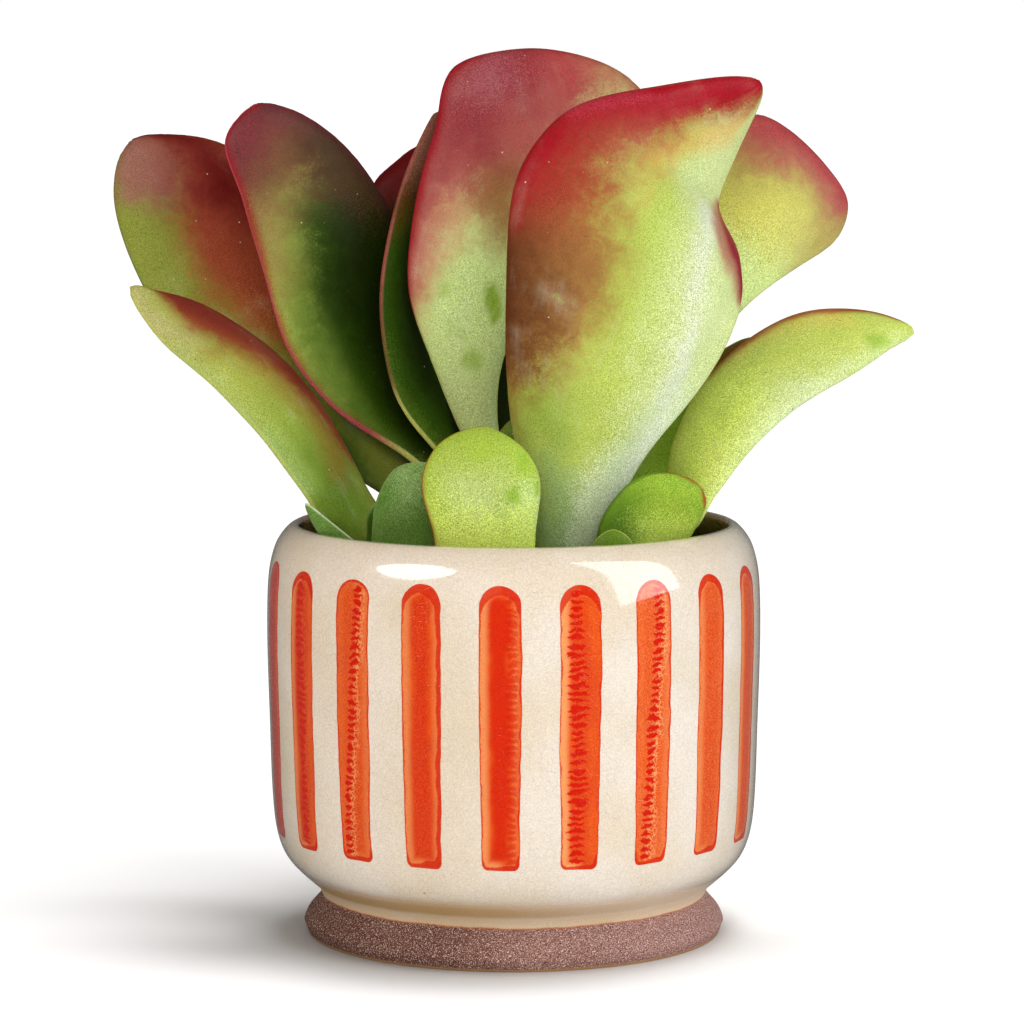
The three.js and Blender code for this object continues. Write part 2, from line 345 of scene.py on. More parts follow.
def makeWorld():
    world = bpy.data.worlds.new("studio")
    world.use_nodes = True
    scene.world = world
    tree = world.node_tree
    paths = addNode(tree, "ShaderNodeLightPath").outputs
    heading = addNode(tree, "ShaderNodeTexCoord").outputs["Generated"]
    backwards = splitPlace(tree, heading)[1]
    mirrored = ramp(tree, backwards, 0.2, 0.9, *studio["skyGloss"])
    light = mixValue(tree, paths["Is Glossy Ray"], studio["sky"], mirrored)
    strength = mixValue(tree, paths["Is Camera Ray"], light, studio["backdrop"])
    tree.links.new(strength, tree.nodes["Background"].inputs["Strength"])
    tree.nodes["Background"].inputs["Color"].default_value = (1, 1, 1, 1)
    scene.view_settings.view_transform = "Standard"


def makeFloor():
    half = studio["floorSize"] / 2
    corners = [(-half, -half, 0), (half, -half, 0), (half, half, 0), (-half, half, 0)]
    mesh = bpy.data.meshes.new("floor")
    mesh.from_pydata(corners, [], [(0, 1, 2, 3)])
    material, _, shader = newMaterial("paleFloor", Roughness=0.9)
    shader.inputs["Base Color"].default_value = hexColor(studio["floorColor"])
    mesh.materials.append(material)
    floor = bpy.data.objects.new("floor", mesh)
    floor.visible_glossy = False
    scene.collection.objects.link(floor)
    return floor


def makeStudio():
    makeWorld()
    floor = makeFloor()
    floorOnly = bpy.data.collections.new("floorOnly")
    floorOnly.objects.link(floor)
    allButFloor = bpy.data.collections.new("allButFloor")
    allButFloor.objects.link(floor)
    allButFloor.collection_objects[0].light_linking.link_state = "EXCLUDE"
    for purpose in ("light", "gleam"):
        for name, box in studio["boxes"].items():
            if purpose in box:
                addSoftbox(name + purpose.title(), box, purpose, allButFloor)
    for name, sun in studio["floorLights"].items():
        addFloorSun(name + "Sun", *sun, floorOnly)


# Leaves

palette = {
    "crimson": "940C1C",
    "berry": "8A1E30",
    # pinkRed is crimson lightened for a painted highlight on a leaf's margin
    "pinkRed": "B04050",
    "brickRed": "923828",
    "garnet": "8A363A",
    "rosewood": "9E3C3E",
    "dustyRose": "AC6056",
    "heather": "9A5C66",
    "roseTan": "9C4C46",
    "roseTaupe": "8A5C4E",
    "mulberry": "6E2E34",
    "plum": "582E32",
    "brick": "7A2C22",
    "maroon": "5A0A0A",
    "russet": "8C4028",
    "ember": "9A3C20",
    "amber": "94642A",
    "apricot": "C4A050",
    "bark": "8E6838",
    "umber": "5A3014",
    "darkUmber": "422E18",
    "cocoa": "705034",
    "fawn": "98804A",
    "tan": "BE9668",
    "gold": "D2BC5C",
    "straw": "C4C86C",
    "hay": "B0AC74",
    "chartreuse": "B8B858",
    "lime": "B4C45A",
    "freshLime": "9CB43E",
    "brightLime": "D0E664",
    "spring": "A8B854",
    "paleLime": "BAC888",
    "meadow": "86A03C",
    "pasture": "98A84E",
    "grass": "7CA02A",
    "moss": "9EA848",
    "fern": "5E7E24",
    "fernDark": "5E8038",
    "deepFern": "466E1C",
    "sage": "8EAA6C",
    "mint": "C4DC8E",
    "paleMint": "C2D0A6",
    "olive": "7C8634",
    # deepGreen is painted shade, partly the leaves' own dark green, and the next is painted deep shade, where
    # leaves lie in the shadow of others
    "deepGreen": "2E4A0A",
    "shadowGreen": "1A2604",
    "rubbed": "86AA2C",
    # the pale bloom, which on the tall front leaf also paints the highlight along its fold
    "bloomAndSheen": "CCD2BE",
    "whiteSpeck": "EEE6CC",
    "brownSpeck": "5A3A1E",
}

# How a leaf looks: the colour of its ground, and coats of other colours over it in turn. A coat is
# (colour, how softly it ends in mm, strength, the corners of its area). A corner is (its place across the
# leaf, from -100 at the left margin to 100 at the right one, and its place along the leaf, from 0 at the
# root to 100 at the tip)
plainLeaf = {
    "ground": "lime",
    "coats": [
        ("meadow", 12, 0.8, [(-150, 25), (0, 35), (150, 25), (150, -20), (-150, -20)]),
        ("dustyRose", 7, 0.9, [(-150, 68), (-60, 80), (0, 88), (60, 82), (150, 70), (150, 130),
            (-150, 130)]),
        ("rosewood", 4, 0.9, [(-150, 80), (-60, 92), (0, 96), (60, 92), (150, 80), (150, 130),
            (-150, 130)]),
    ],
    "edge": ("ember", "ember"),   # the line along each margin, the left one first,
    "edgeLine": (0.6, 0.6),       # how strong it is
    "edgeWidth": 0.8,             # and how wide,
    "edgeFoot": "ember",          # and its colour below
    "edgeTurn": 0.0,              # this share of the length
    "blush": (0.0, 0.0),          # how crimson the skin is beside each margin
    "blushWidth": 4.0,
    "blushStart": 0.3,
    "bloom": 0.5,
    "patches": 0.2,               # where the bloom is rubbed off
    "brownDots": 0.4,
    "gloss": 0.07,
}

leafLooks = {
    "leaf_front_tall": {
        "ground": "spring", "edge": ("ember", "straw"), "edgeLine": (0.5, 0.3), "edgeFoot": "straw",
        "edgeTurn": 0.3, "patches": 0.5,
        "coats": [
            ("paleLime", 11.7, 1.0, [(-50, 92), (-33, 97), (61, 100), (150, 82), (150, 59), (150, 41),
                (150, 13), (38, 21), (44, 34), (25, 47), (19, 58), (19, 69), (8, 83)]),
            ("freshLime", 7.8, 0.5, [(-12, 67), (5, 71), (9, 63), (4, 56), (0, 48), (-16, 48), (-14, 58)]),
            ("meadow", 11.7, 0.9, [(-150, 41), (-82, 41), (-56, 40), (-33, 37), (-11, 32), (-27, 27),
                (-59, 30), (-150, 30)]),
            ("sage", 10.4, 0.9, [(-46, 27), (0, 27), (24, 24), (50, 12), (75, 1), (-150, 17), (-45, 22)]),
            ("paleMint", 7.8, 0.9, [(5, 24), (56, 35), (61, 42), (91, 45), (150, 44), (150, 30), (77, 22),
                (66, 14), (-15, 13)]),
            ("bloomAndSheen", 5.2, 0.7, [(52, 22), (78, 31), (79, 38), (83, 41), (96, 37), (93, 30), (74, 21),
                (53, 16)]),
            # along the fold: partly pale bloom, partly a painted highlight where the fold faces the light
            ("bloomAndSheen", 4.5, 0.85, [(47, 71), (64, 72), (48, 65), (55, 58), (63, 52), (74, 47), (79, 43),
                (65, 43), (48, 50), (44, 57), (38, 64)]),
            ("apricot", 6.5, 0.7, [(-24, 69), (-22, 80), (-24, 88), (8, 95), (12, 98), (44, 96), (53, 90),
                (13, 84), (-1, 72), (-14, 67)]),
            ("brickRed", 11.7, 1.0, [(-150, 32), (-94, 33), (-71, 39), (-47, 44), (-35, 47), (-31, 52),
                (-32, 56), (-33, 59), (-32, 63), (-31, 67), (-24, 72), (-24, 82), (-29, 89), (-1, 95),
                (24, 99), (-150, 130), (-150, 73)]),
            ("bark", 13.0, 0.95, [(-150, 57), (-80, 58), (-51, 59), (-36, 56), (-31, 50), (-46, 43),
                (-150, 33)]),
            # partly the leaf's own red-brown, partly painted shade where its left side turns away from the
            # light
            ("umber", 10.4, 1.0, [(-150, 60), (-97, 60), (-77, 58), (-65, 51), (-60, 45), (-71, 39),
                (-150, 34), (-150, 33)]),
            ("crimson", 7.8, 1.0, [(-150, 58), (-97, 59), (-85, 63), (-80, 66), (-75, 70), (-75, 76),
                (-68, 80), (-58, 85), (-39, 90), (6, 94), (36, 96), (150, 130), (-150, 130), (-150, 83),
                (-150, 76), (-150, 69), (-150, 61)]),
            # a painted highlight on the upper left margin
            ("pinkRed", 3.9, 0.5, [(-150, 76), (-150, 79), (-98, 82), (-98, 85), (-88, 86), (-85, 80),
                (-90, 76)]),
            ("roseTan", 2.5, 0.8, [(81, 76), (63, 72), (57, 69), (60, 66), (67, 64), (81, 63), (94, 62),
                (150, 63), (150, 84)]),
            ("berry", 1.8, 1.0, [(85, 76), (81, 74), (71, 70), (72, 67), (79, 65), (90, 64), (95, 62),
                (150, 63), (150, 84)]),
        ],
    },
    "leaf_back_tall": {
        "ground": "mint", "edge": ("crimson", "crimson"), "edgeLine": (0.8, 0.9),
        "edgeFoot": "straw", "edgeTurn": 0.42, "blush": (0.8, 0.6), "blushWidth": 4.0,
        "blushStart": 0.4, "patches": 0.3,
        "coats": [
            ("paleLime", 11.7, 0.75, [(-150, 32), (97, 33), (83, 13), (-150, 17)]),
            ("rubbed", 1.5, 0.9, [(11, 49), (24, 49), (43, 46), (58, 42), (46, 41), (22, 45)]),
            ("rubbed", 2.5, 0.7, [(-8, 36), (20, 36), (46, 34), (32, 32), (-14, 33)]),
            ("rubbed", 2, 0.5, [(-58, 50), (-41, 50), (-34, 48), (-53, 47)]),
            ("tan", 7.8, 0.85, [(-150, 40), (-150, 37), (-82, 43), (-66, 49), (-56, 53), (-42, 57),
                (-31, 62), (-12, 62), (22, 58), (-4, 72), (-150, 71)]),
            ("dustyRose", 9.1, 1.0, [(-150, 44), (-150, 41), (-83, 48), (-72, 56), (-66, 61), (-57, 66),
                (-42, 68), (-14, 67), (0, 69), (150, 130), (-150, 130)]),
            ("bark", 7.8, 0.95, [(-47, 75), (-28, 76), (-9, 74), (16, 62), (14, 57), (-11, 60), (-35, 66)]),
            ("garnet", 10.4, 1.0, [(-150, 60), (-98, 63), (-78, 71), (-67, 74), (-48, 73), (-34, 75),
                (-32, 80), (-25, 85), (-2, 88), (150, 130), (93, 88), (150, 130), (-150, 130)]),
            ("roseTan", 6.5, 0.6, [(-36, 85), (-17, 85), (-3, 81), (-7, 76), (-26, 78)]),
            ("heather", 7.8, 0.45, [(-70, 96), (-47, 97), (-35, 93), (-53, 89), (-72, 90)]),
            ("rosewood", 9.1, 0.8, [(12, 99), (13, 91), (93, 88), (150, 130)]),
        ],
    },
    "leaf_left_dark": {
        # the left margin line is crimson, lightened to pink as a painted rim highlight
        "ground": "pasture", "edge": ("pinkRed", "plum"), "edgeLine": (0.9, 0.6), "edgeWidth": 0.6,
        "edgeFoot": "straw", "edgeTurn": 0.26, "blush": (0.7, 0.3), "blushWidth": 3,
        "blushStart": 0.25, "patches": 0.15, "bloom": 0.0,
        "coats": [
            # painted shadow of the leaves to its right: deepGreen over the right of the blade, fern as its
            # softer edge, and a darker painted shade further right
            ("deepGreen", 7.8, 1.0, [(-57, 78), (-57, 70), (-62, 59), (-64, 49), (-75, 37), (-150, 26),
                (-91, 16), (57, -20), (150, 81), (64, 87)]),
            ("fern", 6.5, 0.7, [(-57, 74), (-47, 59), (-36, 48), (-50, 36), (-98, 24), (-99, 27), (-89, 37),
                (-81, 49), (-82, 62)]),
            ("shadowGreen", 10.4, 1.0, [(28, 82), (-13, 71), (-24, 60), (0, 50), (-2, 38), (-79, 19), (150, 14),
                (150, 78), (94, 80), (85, 85)]),
            ("cocoa", 10.4, 1.0, [(-150, 71), (-99, 68), (-61, 74), (-25, 78), (14, 81), (42, 80), (86, 79),
                (150, 78), (150, 130), (-150, 130)]),
            ("fawn", 7.8, 0.6, [(-91, 79), (-67, 79), (-58, 75), (-65, 67), (-83, 61), (-99, 63),
                (-97, 71)]),
            ("darkUmber", 10.4, 1.0, [(150, 130), (150, 81), (94, 73), (45, 75), (16, 81), (24, 90)]),
            ("mulberry", 7.8, 0.95, [(-150, 130), (150, 130), (81, 96), (9, 94), (-42, 90), (-87, 84),
                (-150, 80), (-150, 86)]),
            ("plum", 4.5, 0.75, [(150, 130), (-16, 98), (76, 95), (89, 89), (84, 82), (95, 75), (150, 76),
                (150, 130)]),
        ],
    },
    "leaf_left_back": {
        "ground": "olive", "edge": ("plum", "plum"), "edgeLine": (0.3, 0.4), "patches": 0.05,
        "coats": [
            # painted shadow on the lower left, where the leaves beside it shade it
            ("deepGreen", 9.1, 0.9, [(-68, 35), (-37, 32), (-46, 27), (-68, 21), (-150, 18), (-150, 29)]),
            ("deepGreen", 5.2, 0.8, [(-48, 35), (-57, 29), (-98, 21), (-150, 24), (-150, 30)]),
            ("russet", 5.2, 1.0, [(150, 130), (-28, 86), (-29, 82), (-40, 76), (-39, 72), (-37, 68),
                (-32, 64), (-24, 58), (-10, 52), (63, 49), (150, 130)]),
            ("amber", 6.5, 0.5, [(-42, 71), (-7, 65), (12, 55), (-14, 47), (-33, 59), (-46, 67)]),
            ("roseTaupe", 6.5, 1.0, [(-150, 130), (-93, 88), (-56, 86), (-33, 84), (-13, 86), (36, 93),
                (150, 130), (-150, 130)]),
            ("brick", 10.4, 0.9, [(150, 130), (-10, 91), (-22, 83), (0, 78), (29, 74), (66, 74),
                (150, 130)]),
            # partly its own dark red, partly painted shade from the leaf in front
            ("maroon", 10.4, 0.95, [(150, 130), (43, 93), (14, 86), (24, 82), (48, 81), (150, 130)]),
        ],
    },
    "leaf_left_low": {
        "ground": "moss", "edge": ("straw", "maroon"), "edgeLine": (0.4, 0.8), "edgeWidth": 0.6,
        "patches": 0.1, "brownDots": 1.0,
        "coats": [
            ("hay", 9.1, 0.9, [(-150, 130), (-90, 79), (-55, 79), (-57, 87), (-65, 94), (60, 100),
                (-150, 130)]),
            ("meadow", 11.7, 0.75, [(-91, 60), (64, 55), (48, 26), (-150, 32), (-150, 62)]),
            ("fern", 9.1, 0.85, [(-72, 49), (54, 44), (5, 25), (-150, 26), (-99, 40)]),
            ("sage", 4.5, 0.8, [(-100, 82), (-99, 69), (-99, 56), (-96, 43), (-150, 46), (-150, 83)]),
            ("amber", 5.2, 0.6, [(-71, 76), (-47, 72), (-28, 65), (-16, 58), (-9, 52), (-31, 43), (-4, 39),
                (69, 46), (62, 61), (13, 74)]),
            ("russet", 4.5, 1.0, [(26, 97), (-23, 90), (-42, 83), (-34, 76), (-11, 72), (6, 67), (24, 61),
                (35, 55), (40, 49), (43, 44), (52, 41), (150, 38), (150, 57), (150, 77), (150, 130)]),
            ("brick", 3.9, 0.9, [(150, 130), (-5, 88), (4, 80), (24, 75), (28, 70), (42, 64), (42, 59),
                (150, 55), (150, 67), (150, 83)]),
        ],
    },
    "leaf_far_back": {
        "ground": "maroon", "edge": ("crimson", "crimson"), "patches": 0.0, "bloom": 0.0,
        "coats": [
            # painted shade over nearly all of this leaf, which lies in the dark gap behind the tall leaves
            ("shadowGreen", 7.8, 1.0, [(-150, 83), (150, 81), (150, 0), (-150, 15)]),
        ],
    },
    "leaf_narrow": {
        # its dark green ground is partly painted shade
        "ground": "deepGreen", "edge": ("roseTan", "roseTan"), "edgeLine": (0.8, 0.5),
        "edgeWidth": 0.45, "edgeFoot": "straw", "edgeTurn": 0.36, "patches": 0.0, "bloom": 0.0,
        "coats": [
            ("fern", 3.9, 0.5, [(-150, 52), (-94, 46), (-88, 38), (-87, 29), (-88, 19), (-150, 19),
                (-150, 34), (-150, 48)]),
            # painted shade cast by the leaf beside it
            ("shadowGreen", 6.5, 0.9, [(-55, 71), (53, 74), (150, 54), (23, 29), (-38, 33), (-36, 48)]),
            ("umber", 9.1, 0.9, [(-150, 74), (-70, 76), (48, 78), (150, 130), (-150, 130)]),
            ("roseTaupe", 7.8, 0.7, [(-150, 83), (-99, 85), (48, 86), (150, 130), (-150, 130)]),
        ],
    },
    "leaf_right_back": {
        "ground": "chartreuse", "edge": ("rosewood", "rosewood"), "edgeLine": (0.6, 0.3),
        "patches": 0.3,
        "coats": [
            ("mint", 7.8, 0.8, [(-12, 66), (57, 76), (97, 84), (150, 130), (150, 64), (52, 51)]),
            ("fawn", 10.4, 0.85, [(-89, 72), (-36, 79), (-18, 84), (3, 88), (36, 89), (67, 87), (97, 84),
                (150, 130), (-150, 130), (-150, 80)]),
            ("roseTan", 7.8, 1.0, [(-94, 75), (-56, 81), (-33, 85), (-19, 89), (3, 92), (47, 93), (150, 130),
                (-150, 130), (-150, 80)]),
            ("rosewood", 5.2, 0.9, [(-150, 82), (-90, 83), (-67, 86), (-54, 91), (-36, 95), (6, 97),
                (150, 130), (-150, 130), (-150, 84)]),
        ],
    },
    "leaf_right_low": {
        "ground": "lime", "edge": ("ember", "sage"), "edgeLine": (0.5, 0.0), "patches": 0.3,
        "brownDots": 1.0,
        "coats": [
            ("paleMint", 9.1, 0.85, [(98, 86), (74, 74), (74, 64), (94, 52), (98, 37), (150, 43), (150, 63),
                (150, 130)]),
            # partly its own yellow-green, partly painted light standing in for light shining through the leaf
            ("brightLime", 10.4, 0.95, [(-150, 49), (-150, 56), (-34, 61), (25, 58), (52, 50), (94, 41),
                (84, 35), (-31, 26)]),
            ("rubbed", 2, 0.8, [(44, 87), (56, 91), (87, 91), (77, 87)]),
            ("gold", 4.5, 0.6, [(-54, 63), (-50, 74), (-34, 80), (-12, 86), (-74, 87), (-150, 76),
                (-150, 64)]),
            ("ember", 2, 0.9, [(-150, 60), (-76, 58), (-71, 64), (-67, 70), (-72, 76), (-66, 81), (-56, 86),
                (-37, 92), (-2, 96), (-34, 99), (-150, 130), (-150, 75)]),
        ],
    },
    "leaf_right_dark": {
        "ground": "grass", "edge": ("grass", "grass"), "patches": 0.0, "bloom": 0.0,
        "coats": [
            ("umber", 5.2, 0.9, [(-150, 78), (-150, 130), (33, 89), (-40, 75), (-68, 69)]),
        ],
    },
    "leaf_small_front": {
        "ground": "freshLime", "edge": ("ember", "straw"), "edgeLine": (0.9, 0.8), "edgeWidth": 0.6,
        "patches": 0.25, "bloom": 0.3,
        "coats": [
            ("paleLime", 7.8, 0.7, [(-48, 85), (34, 89), (48, 76), (36, 61), (-69, 61)]),
            ("meadow", 7.8, 0.6, [(-150, 130), (150, 130), (59, 91), (-44, 90)]),
            ("mint", 5.2, 0.7, [(58, 79), (150, 81), (150, 59), (55, 61)]),
            ("brightLime", 7.8, 0.8, [(-150, 72), (150, 67), (150, 44), (-150, 50)]),
            ("rubbed", 1.3, 0.9, [(74, 92), (92, 92), (79, 86), (67, 86)]),
            ("rubbed", 1.3, 0.9, [(37, 78), (57, 80), (60, 74), (43, 75)]),
            ("rubbed", 0.8, 0.9, [(88, 81), (94, 81), (96, 76), (89, 76)]),
            ("ember", 1.0, 0.75, [(-150, 130), (-98, 87), (-95, 75), (-96, 65), (-97, 53), (-150, 53)]),
        ],
    },
    "leaf_small_left": {
        "ground": "fernDark", "edge": ("sage", "sage"), "edgeLine": (0.8, 0.8), "patches": 0.0,
        "coats": [
            ("deepFern", 2.5, 0.9, [(-97, 82), (-97, 91), (-96, 96), (-50, 93), (-44, 87), (-67, 82)]),
            ("sage", 6.5, 0.6, [(-92, 97), (76, 100), (27, 85), (-34, 83)]),
        ],
    },
    "leaf_small_right": {
        # the dark left margin line is painted shadow cast by the tall front leaf
        "ground": "grass", "edge": ("deepFern", "ember"), "edgeLine": (0.6, 0.9), "edgeWidth": 0.6,
        "patches": 0.1, "bloom": 0.3,
        "coats": [
            # painted shadow cast by the tall front leaf over its left side
            ("deepFern", 6.5, 0.9, [(-23, 26), (-99, 69), (-99, 80), (-66, 82), (-19, 73), (6, 57)]),
            ("freshLime", 6.5, 0.7, [(-76, 91), (0, 95), (91, 87), (46, 73), (-23, 77)]),
            ("brightLime", 5.2, 0.6, [(-44, 77), (57, 86), (150, 63), (0, 57)]),
            ("ember", 0.8, 0.85, [(-99, 93), (-87, 97), (46, 99), (65, 95), (89, 92), (150, 130),
                (-150, 130)]),
        ],
    },
    "leaf_tiny_rim": {
        "ground": "fern", "edge": ("straw", "straw"), "edgeLine": (0.8, 0.8), "edgeWidth": 0.5,
        "patches": 0.0,
        "coats": [],
    },
    "leaf_small_hidden": {
        "ground": "deepFern", "edge": ("sage", "sage"), "edgeLine": (0.5, 0.5), "patches": 0.0,
        "coats": [],
    },
    "leaf_small_folded": {
        "ground": "fernDark", "edge": ("paleMint", "paleMint"), "edgeLine": (0.9, 0.9),
        "edgeWidth": 0.5, "patches": 0.0,
        "coats": [],
    },
    "leaf_rear_small": {"coats": []},
    "leaf_rear_small_right": {"coats": []},
    "leaf_young_front": {"ground": "fern", "coats": []},
    "leaf_young_back": {"ground": "fern", "coats": []},
}


def touching(point):
    return {edge.other_vert(point) for edge in point.link_edges}


def leafRings(node):
    # the rings of points that a leaf's solid is made of, from the stem up, and its tip
    solid = bmesh.new()
    solid.from_mesh(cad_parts[node].data)
    bmesh.ops.remove_doubles(solid, verts=solid.verts, dist=1e-6)
    tip = max(solid.verts, key=lambda point: len(point.link_edges))
    follows = {}
    for face in tip.link_faces:
        corners = list(face.verts)
        at = corners.index(tip)
        follows[corners[at - 2]] = corners[at - 1]
    ring = [next(iter(follows))]
    while follows[ring[-1]] != ring[0]:
        ring.append(follows[ring[-1]])
    seen = {tip, *ring}
    below = [touching(point) - seen for point in ring]
    # only the left margin's point has one neighbour below it, and the rings start there
    start = [len(found) for found in below].index(1)
    ring = ring[start:] + ring[:start]
    rings = [ring]
    while True:
        below = [touching(point) - seen for point in ring]
        if not all(below):
            break
        upper = set(ring)
        lower = [below[0].pop()]
        for found in below[1:]:
            beside = {v for face in lower[-1].link_faces if upper & set(face.verts) for v in face.verts}
            lower.append(((found & beside) - set(lower)).pop())
        seen.update(lower)
        rings.append(lower)
        ring = lower
    places = np.array([[point.co[:] for point in ring] for ring in reversed(rings)])
    tipPlace = np.array(tip.co)
    solid.free()
    return places, tipPlace


leafShape = {
    "rowLength": 1.7 * mm,
    "columns": 26,
    "rounding": 6 * mm,     # how far in from its margin a leaf is rounded
    "waves": 0.9 * mm,      # how far its faces rise and fall
    "waveSize": 26 * mm,
    "tipCrowding": 1.35,    # above 1, the rows lie closer together towards the tip
    "fewestRows": 12,
    "marginPoints": 900,
}

creases = {
    # a soft fold along the leaf, given by (share of its length, place from -1 to 1 across it)
    "leaf_front_tall": {
        "path": [
            (0.0, 0.0), (0.16, 0.13), (0.27, 0.37), (0.38, 0.5),
            (0.5, 0.53), (0.62, 0.68), (0.74, 1.0), (1.0, 1.1),
        ],
        "fade": (0.2, 0.4, 0.65, 0.76),
        "height": 1.4 * mm,
        "width": 6 * mm,
        "bend": 0.22,        # how steeply the part to its right turns back
    },
    "leaf_back_tall": {
        "path": [(0.0, 0.5), (0.5, 0.62), (0.65, 0.55), (0.8, 0.35), (1.0, 0.1)],
        "fade": (0.4, 0.6, 0.75, 0.95),
        "height": -1.6 * mm,
        "width": 8 * mm,
        "bend": -0.08,
    },
}


def coatDepth(corners, across, along):
    # how far inside a coat's area each point is, all three in mm
    points = np.stack([across, along], axis=1)
    inside = np.zeros(len(points), dtype=bool)
    nearest = np.full(len(points), np.inf)
    for start, end in zip(corners, np.roll(corners, -1, axis=0)):
        step = end - start
        part = np.clip((points - start) @ step / max(step @ step, 1e-9), 0, 1)
        nearest = np.minimum(nearest, np.linalg.norm(points - start - part[:, None] * step, axis=1))
        if start[1] != end[1]:
            crosses = (points[:, 1] < start[1]) != (points[:, 1] < end[1])
            share = (points[:, 1] - start[1]) / (end[1] - start[1])
            inside ^= crosses & (points[:, 0] < start[0] + share * step[0])
    return np.where(inside, nearest, -nearest)


def makeLeaf(node, material):
    rings, tip = leafRings(node)
    rows = len(rings)
    halfRing = rings.shape[1] // 2
    left, right = rings[:, 0], rings[:, halfRing]
    front, back = rings[:, halfRing // 2], rings[:, -(halfRing // 2)]
    thickness = np.linalg.norm(front - back, axis=1).max()
    arch = np.vstack([(front + back - left - right) / 2, np.zeros(3)])

    # both margins are one curve that turns at the tip
    outline = np.vstack([left, tip, right[::-1]])
    knots = distances(outline)
    rowKnots = np.arange(rows + 1.0)
    fineRows = max(leafShape["fewestRows"], int(knots[rows] / leafShape["rowLength"]))
    rowPlaces = rows * (1 - np.linspace(1, 0, fineRows + 1)[:-1] ** leafShape["tipCrowding"])
    leftPlaces = smoothCurve(knots[:rows + 1, None], rowKnots, rowPlaces)[:, 0]
    rightPlaces = smoothCurve(knots[:rows - 1:-1, None], rowKnots, rowPlaces)[:, 0]
    leftLine = smoothCurve(outline, knots, leftPlaces)
    rightLine = smoothCurve(outline, knots, rightPlaces)
    archLine = smoothCurve(arch, rowKnots, rowPlaces)

    # the blade's middle surface, and how far along it each row is
    columns = leafShape["columns"]
    side = -np.cos(np.pi * np.arange(columns + 1) / columns)
    centre = (leftLine + rightLine) / 2
    halfAcross = (rightLine - leftLine) / 2
    blade = centre[:, None] + side[:, None] * halfAcross[:, None]
    blade = blade + (1 - side ** 2)[:, None] * archLine[:, None]
    lengthwise = np.gradient(blade, axis=0)
    crosswise = np.gradient(blade, axis=1)
    normal = np.cross(crosswise, lengthwise)
    normal /= np.linalg.norm(normal, axis=2, keepdims=True)
    share = distances(np.vstack([centre, tip]))
    length = share[-1]
    share = share / length

    # how far each point is from the margin, and how thick the blade is there
    edge = smoothCurve(outline, knots, np.linspace(0, knots[-1], leafShape["marginPoints"]))
    rim = np.array([np.linalg.norm(edge - row[:, None], axis=2).min(axis=1) for row in blade])
    rim[:, 0] = rim[:, -1] = 0
    inward = np.minimum(1, rim / leafShape["rounding"])
    half = thickness / 2 * np.sqrt(1 - (1 - inward) ** 2)
    inWaves = blade / leafShape["waveSize"]
    waves = np.array([[solidNoise.noise(Vector(point)) for point in row] for row in inWaves])
    offset = waves * inward * leafShape["waves"]
    if node in creases:
        fold = creases[node]
        path = np.array(fold["path"])
        halfWidth = np.linalg.norm(halfAcross, axis=1)[:, None]
        crease = (side - np.interp(share[:-1], path[:, 0], path[:, 1])[:, None]) * halfWidth
        fade = np.interp(share[:-1], fold["fade"], (0, 1, 1, 0))[:, None]
        offset = offset + fade * inward * fold["height"] * np.exp(-(crease / fold["width"]) ** 2)
        offset = offset - fade * inward * fold["bend"] * np.maximum(0, crease)
    blade = blade + normal * offset[:, :, None]
    frontFace = blade + normal * half[:, :, None]
    backFace = blade - normal * half[:, :, None]

    ring = 2 * columns
    points = np.concatenate([frontFace, backFace[:, -2:0:-1]], axis=1).reshape(-1, 3)
    points = np.vstack([points, tip])
    along = np.append(np.repeat(share[:-1], ring), 1.0)
    sideRing = np.concatenate([side, side[-2:0:-1]])
    across = np.append(np.tile(sideRing, fineRows), 0.0)
    rimRing = np.concatenate([rim, rim[:, -2:0:-1]], axis=1)

    faces = [tuple(range(ring))[::-1], *ringFaces(fineRows, ring)]
    last = (fineRows - 1) * ring
    faces += [(last + k, last + (k + 1) % ring, len(points) - 1) for k in range(ring)]
    leaf = makePiece(node.replace("leaf_", "blade_"), points, faces, material, [node])
    addValues(leaf.data, "along", along)
    addValues(leaf.data, "side", across)
    addValues(leaf.data, "rim", np.append(rimRing.ravel(), 0.0) / mm)
    scale = np.array([np.linalg.norm(halfAcross, axis=1).max(), length]) / mm
    for number, coat in enumerate(lookOf(node)["coats"]):
        corners = np.array(coat[-1]) / 100 * scale
        addValues(leaf.data, f"coat{number}", coatDepth(corners, across * scale[0], along * scale[1]))
    return leaf


def lookOf(node):
    return {**plainLeaf, **leafLooks.get(node, {})}


leafNoises = {
    # size in mm, detail, roughness, distortion
    "Fine": (0.3, 2, 0.7, 0.0),
    "Grain": (0.7, 3, 0.7, 0.0),
    "Ragged": (6, 4, 0.65, 0.6),
    "Wander": (26, 3, 0.5, 0.0),
    "Clouds": (15, 4, 0.55, 0.4),
    "Brushed": (3.5, 4, 0.6, 0.5),
}
leafPatterns = ("Speckle", *leafNoises)
brushedSize = (22.0, 14.0)     # what a leaf's width and length count as, in mm, in its brushed streaks


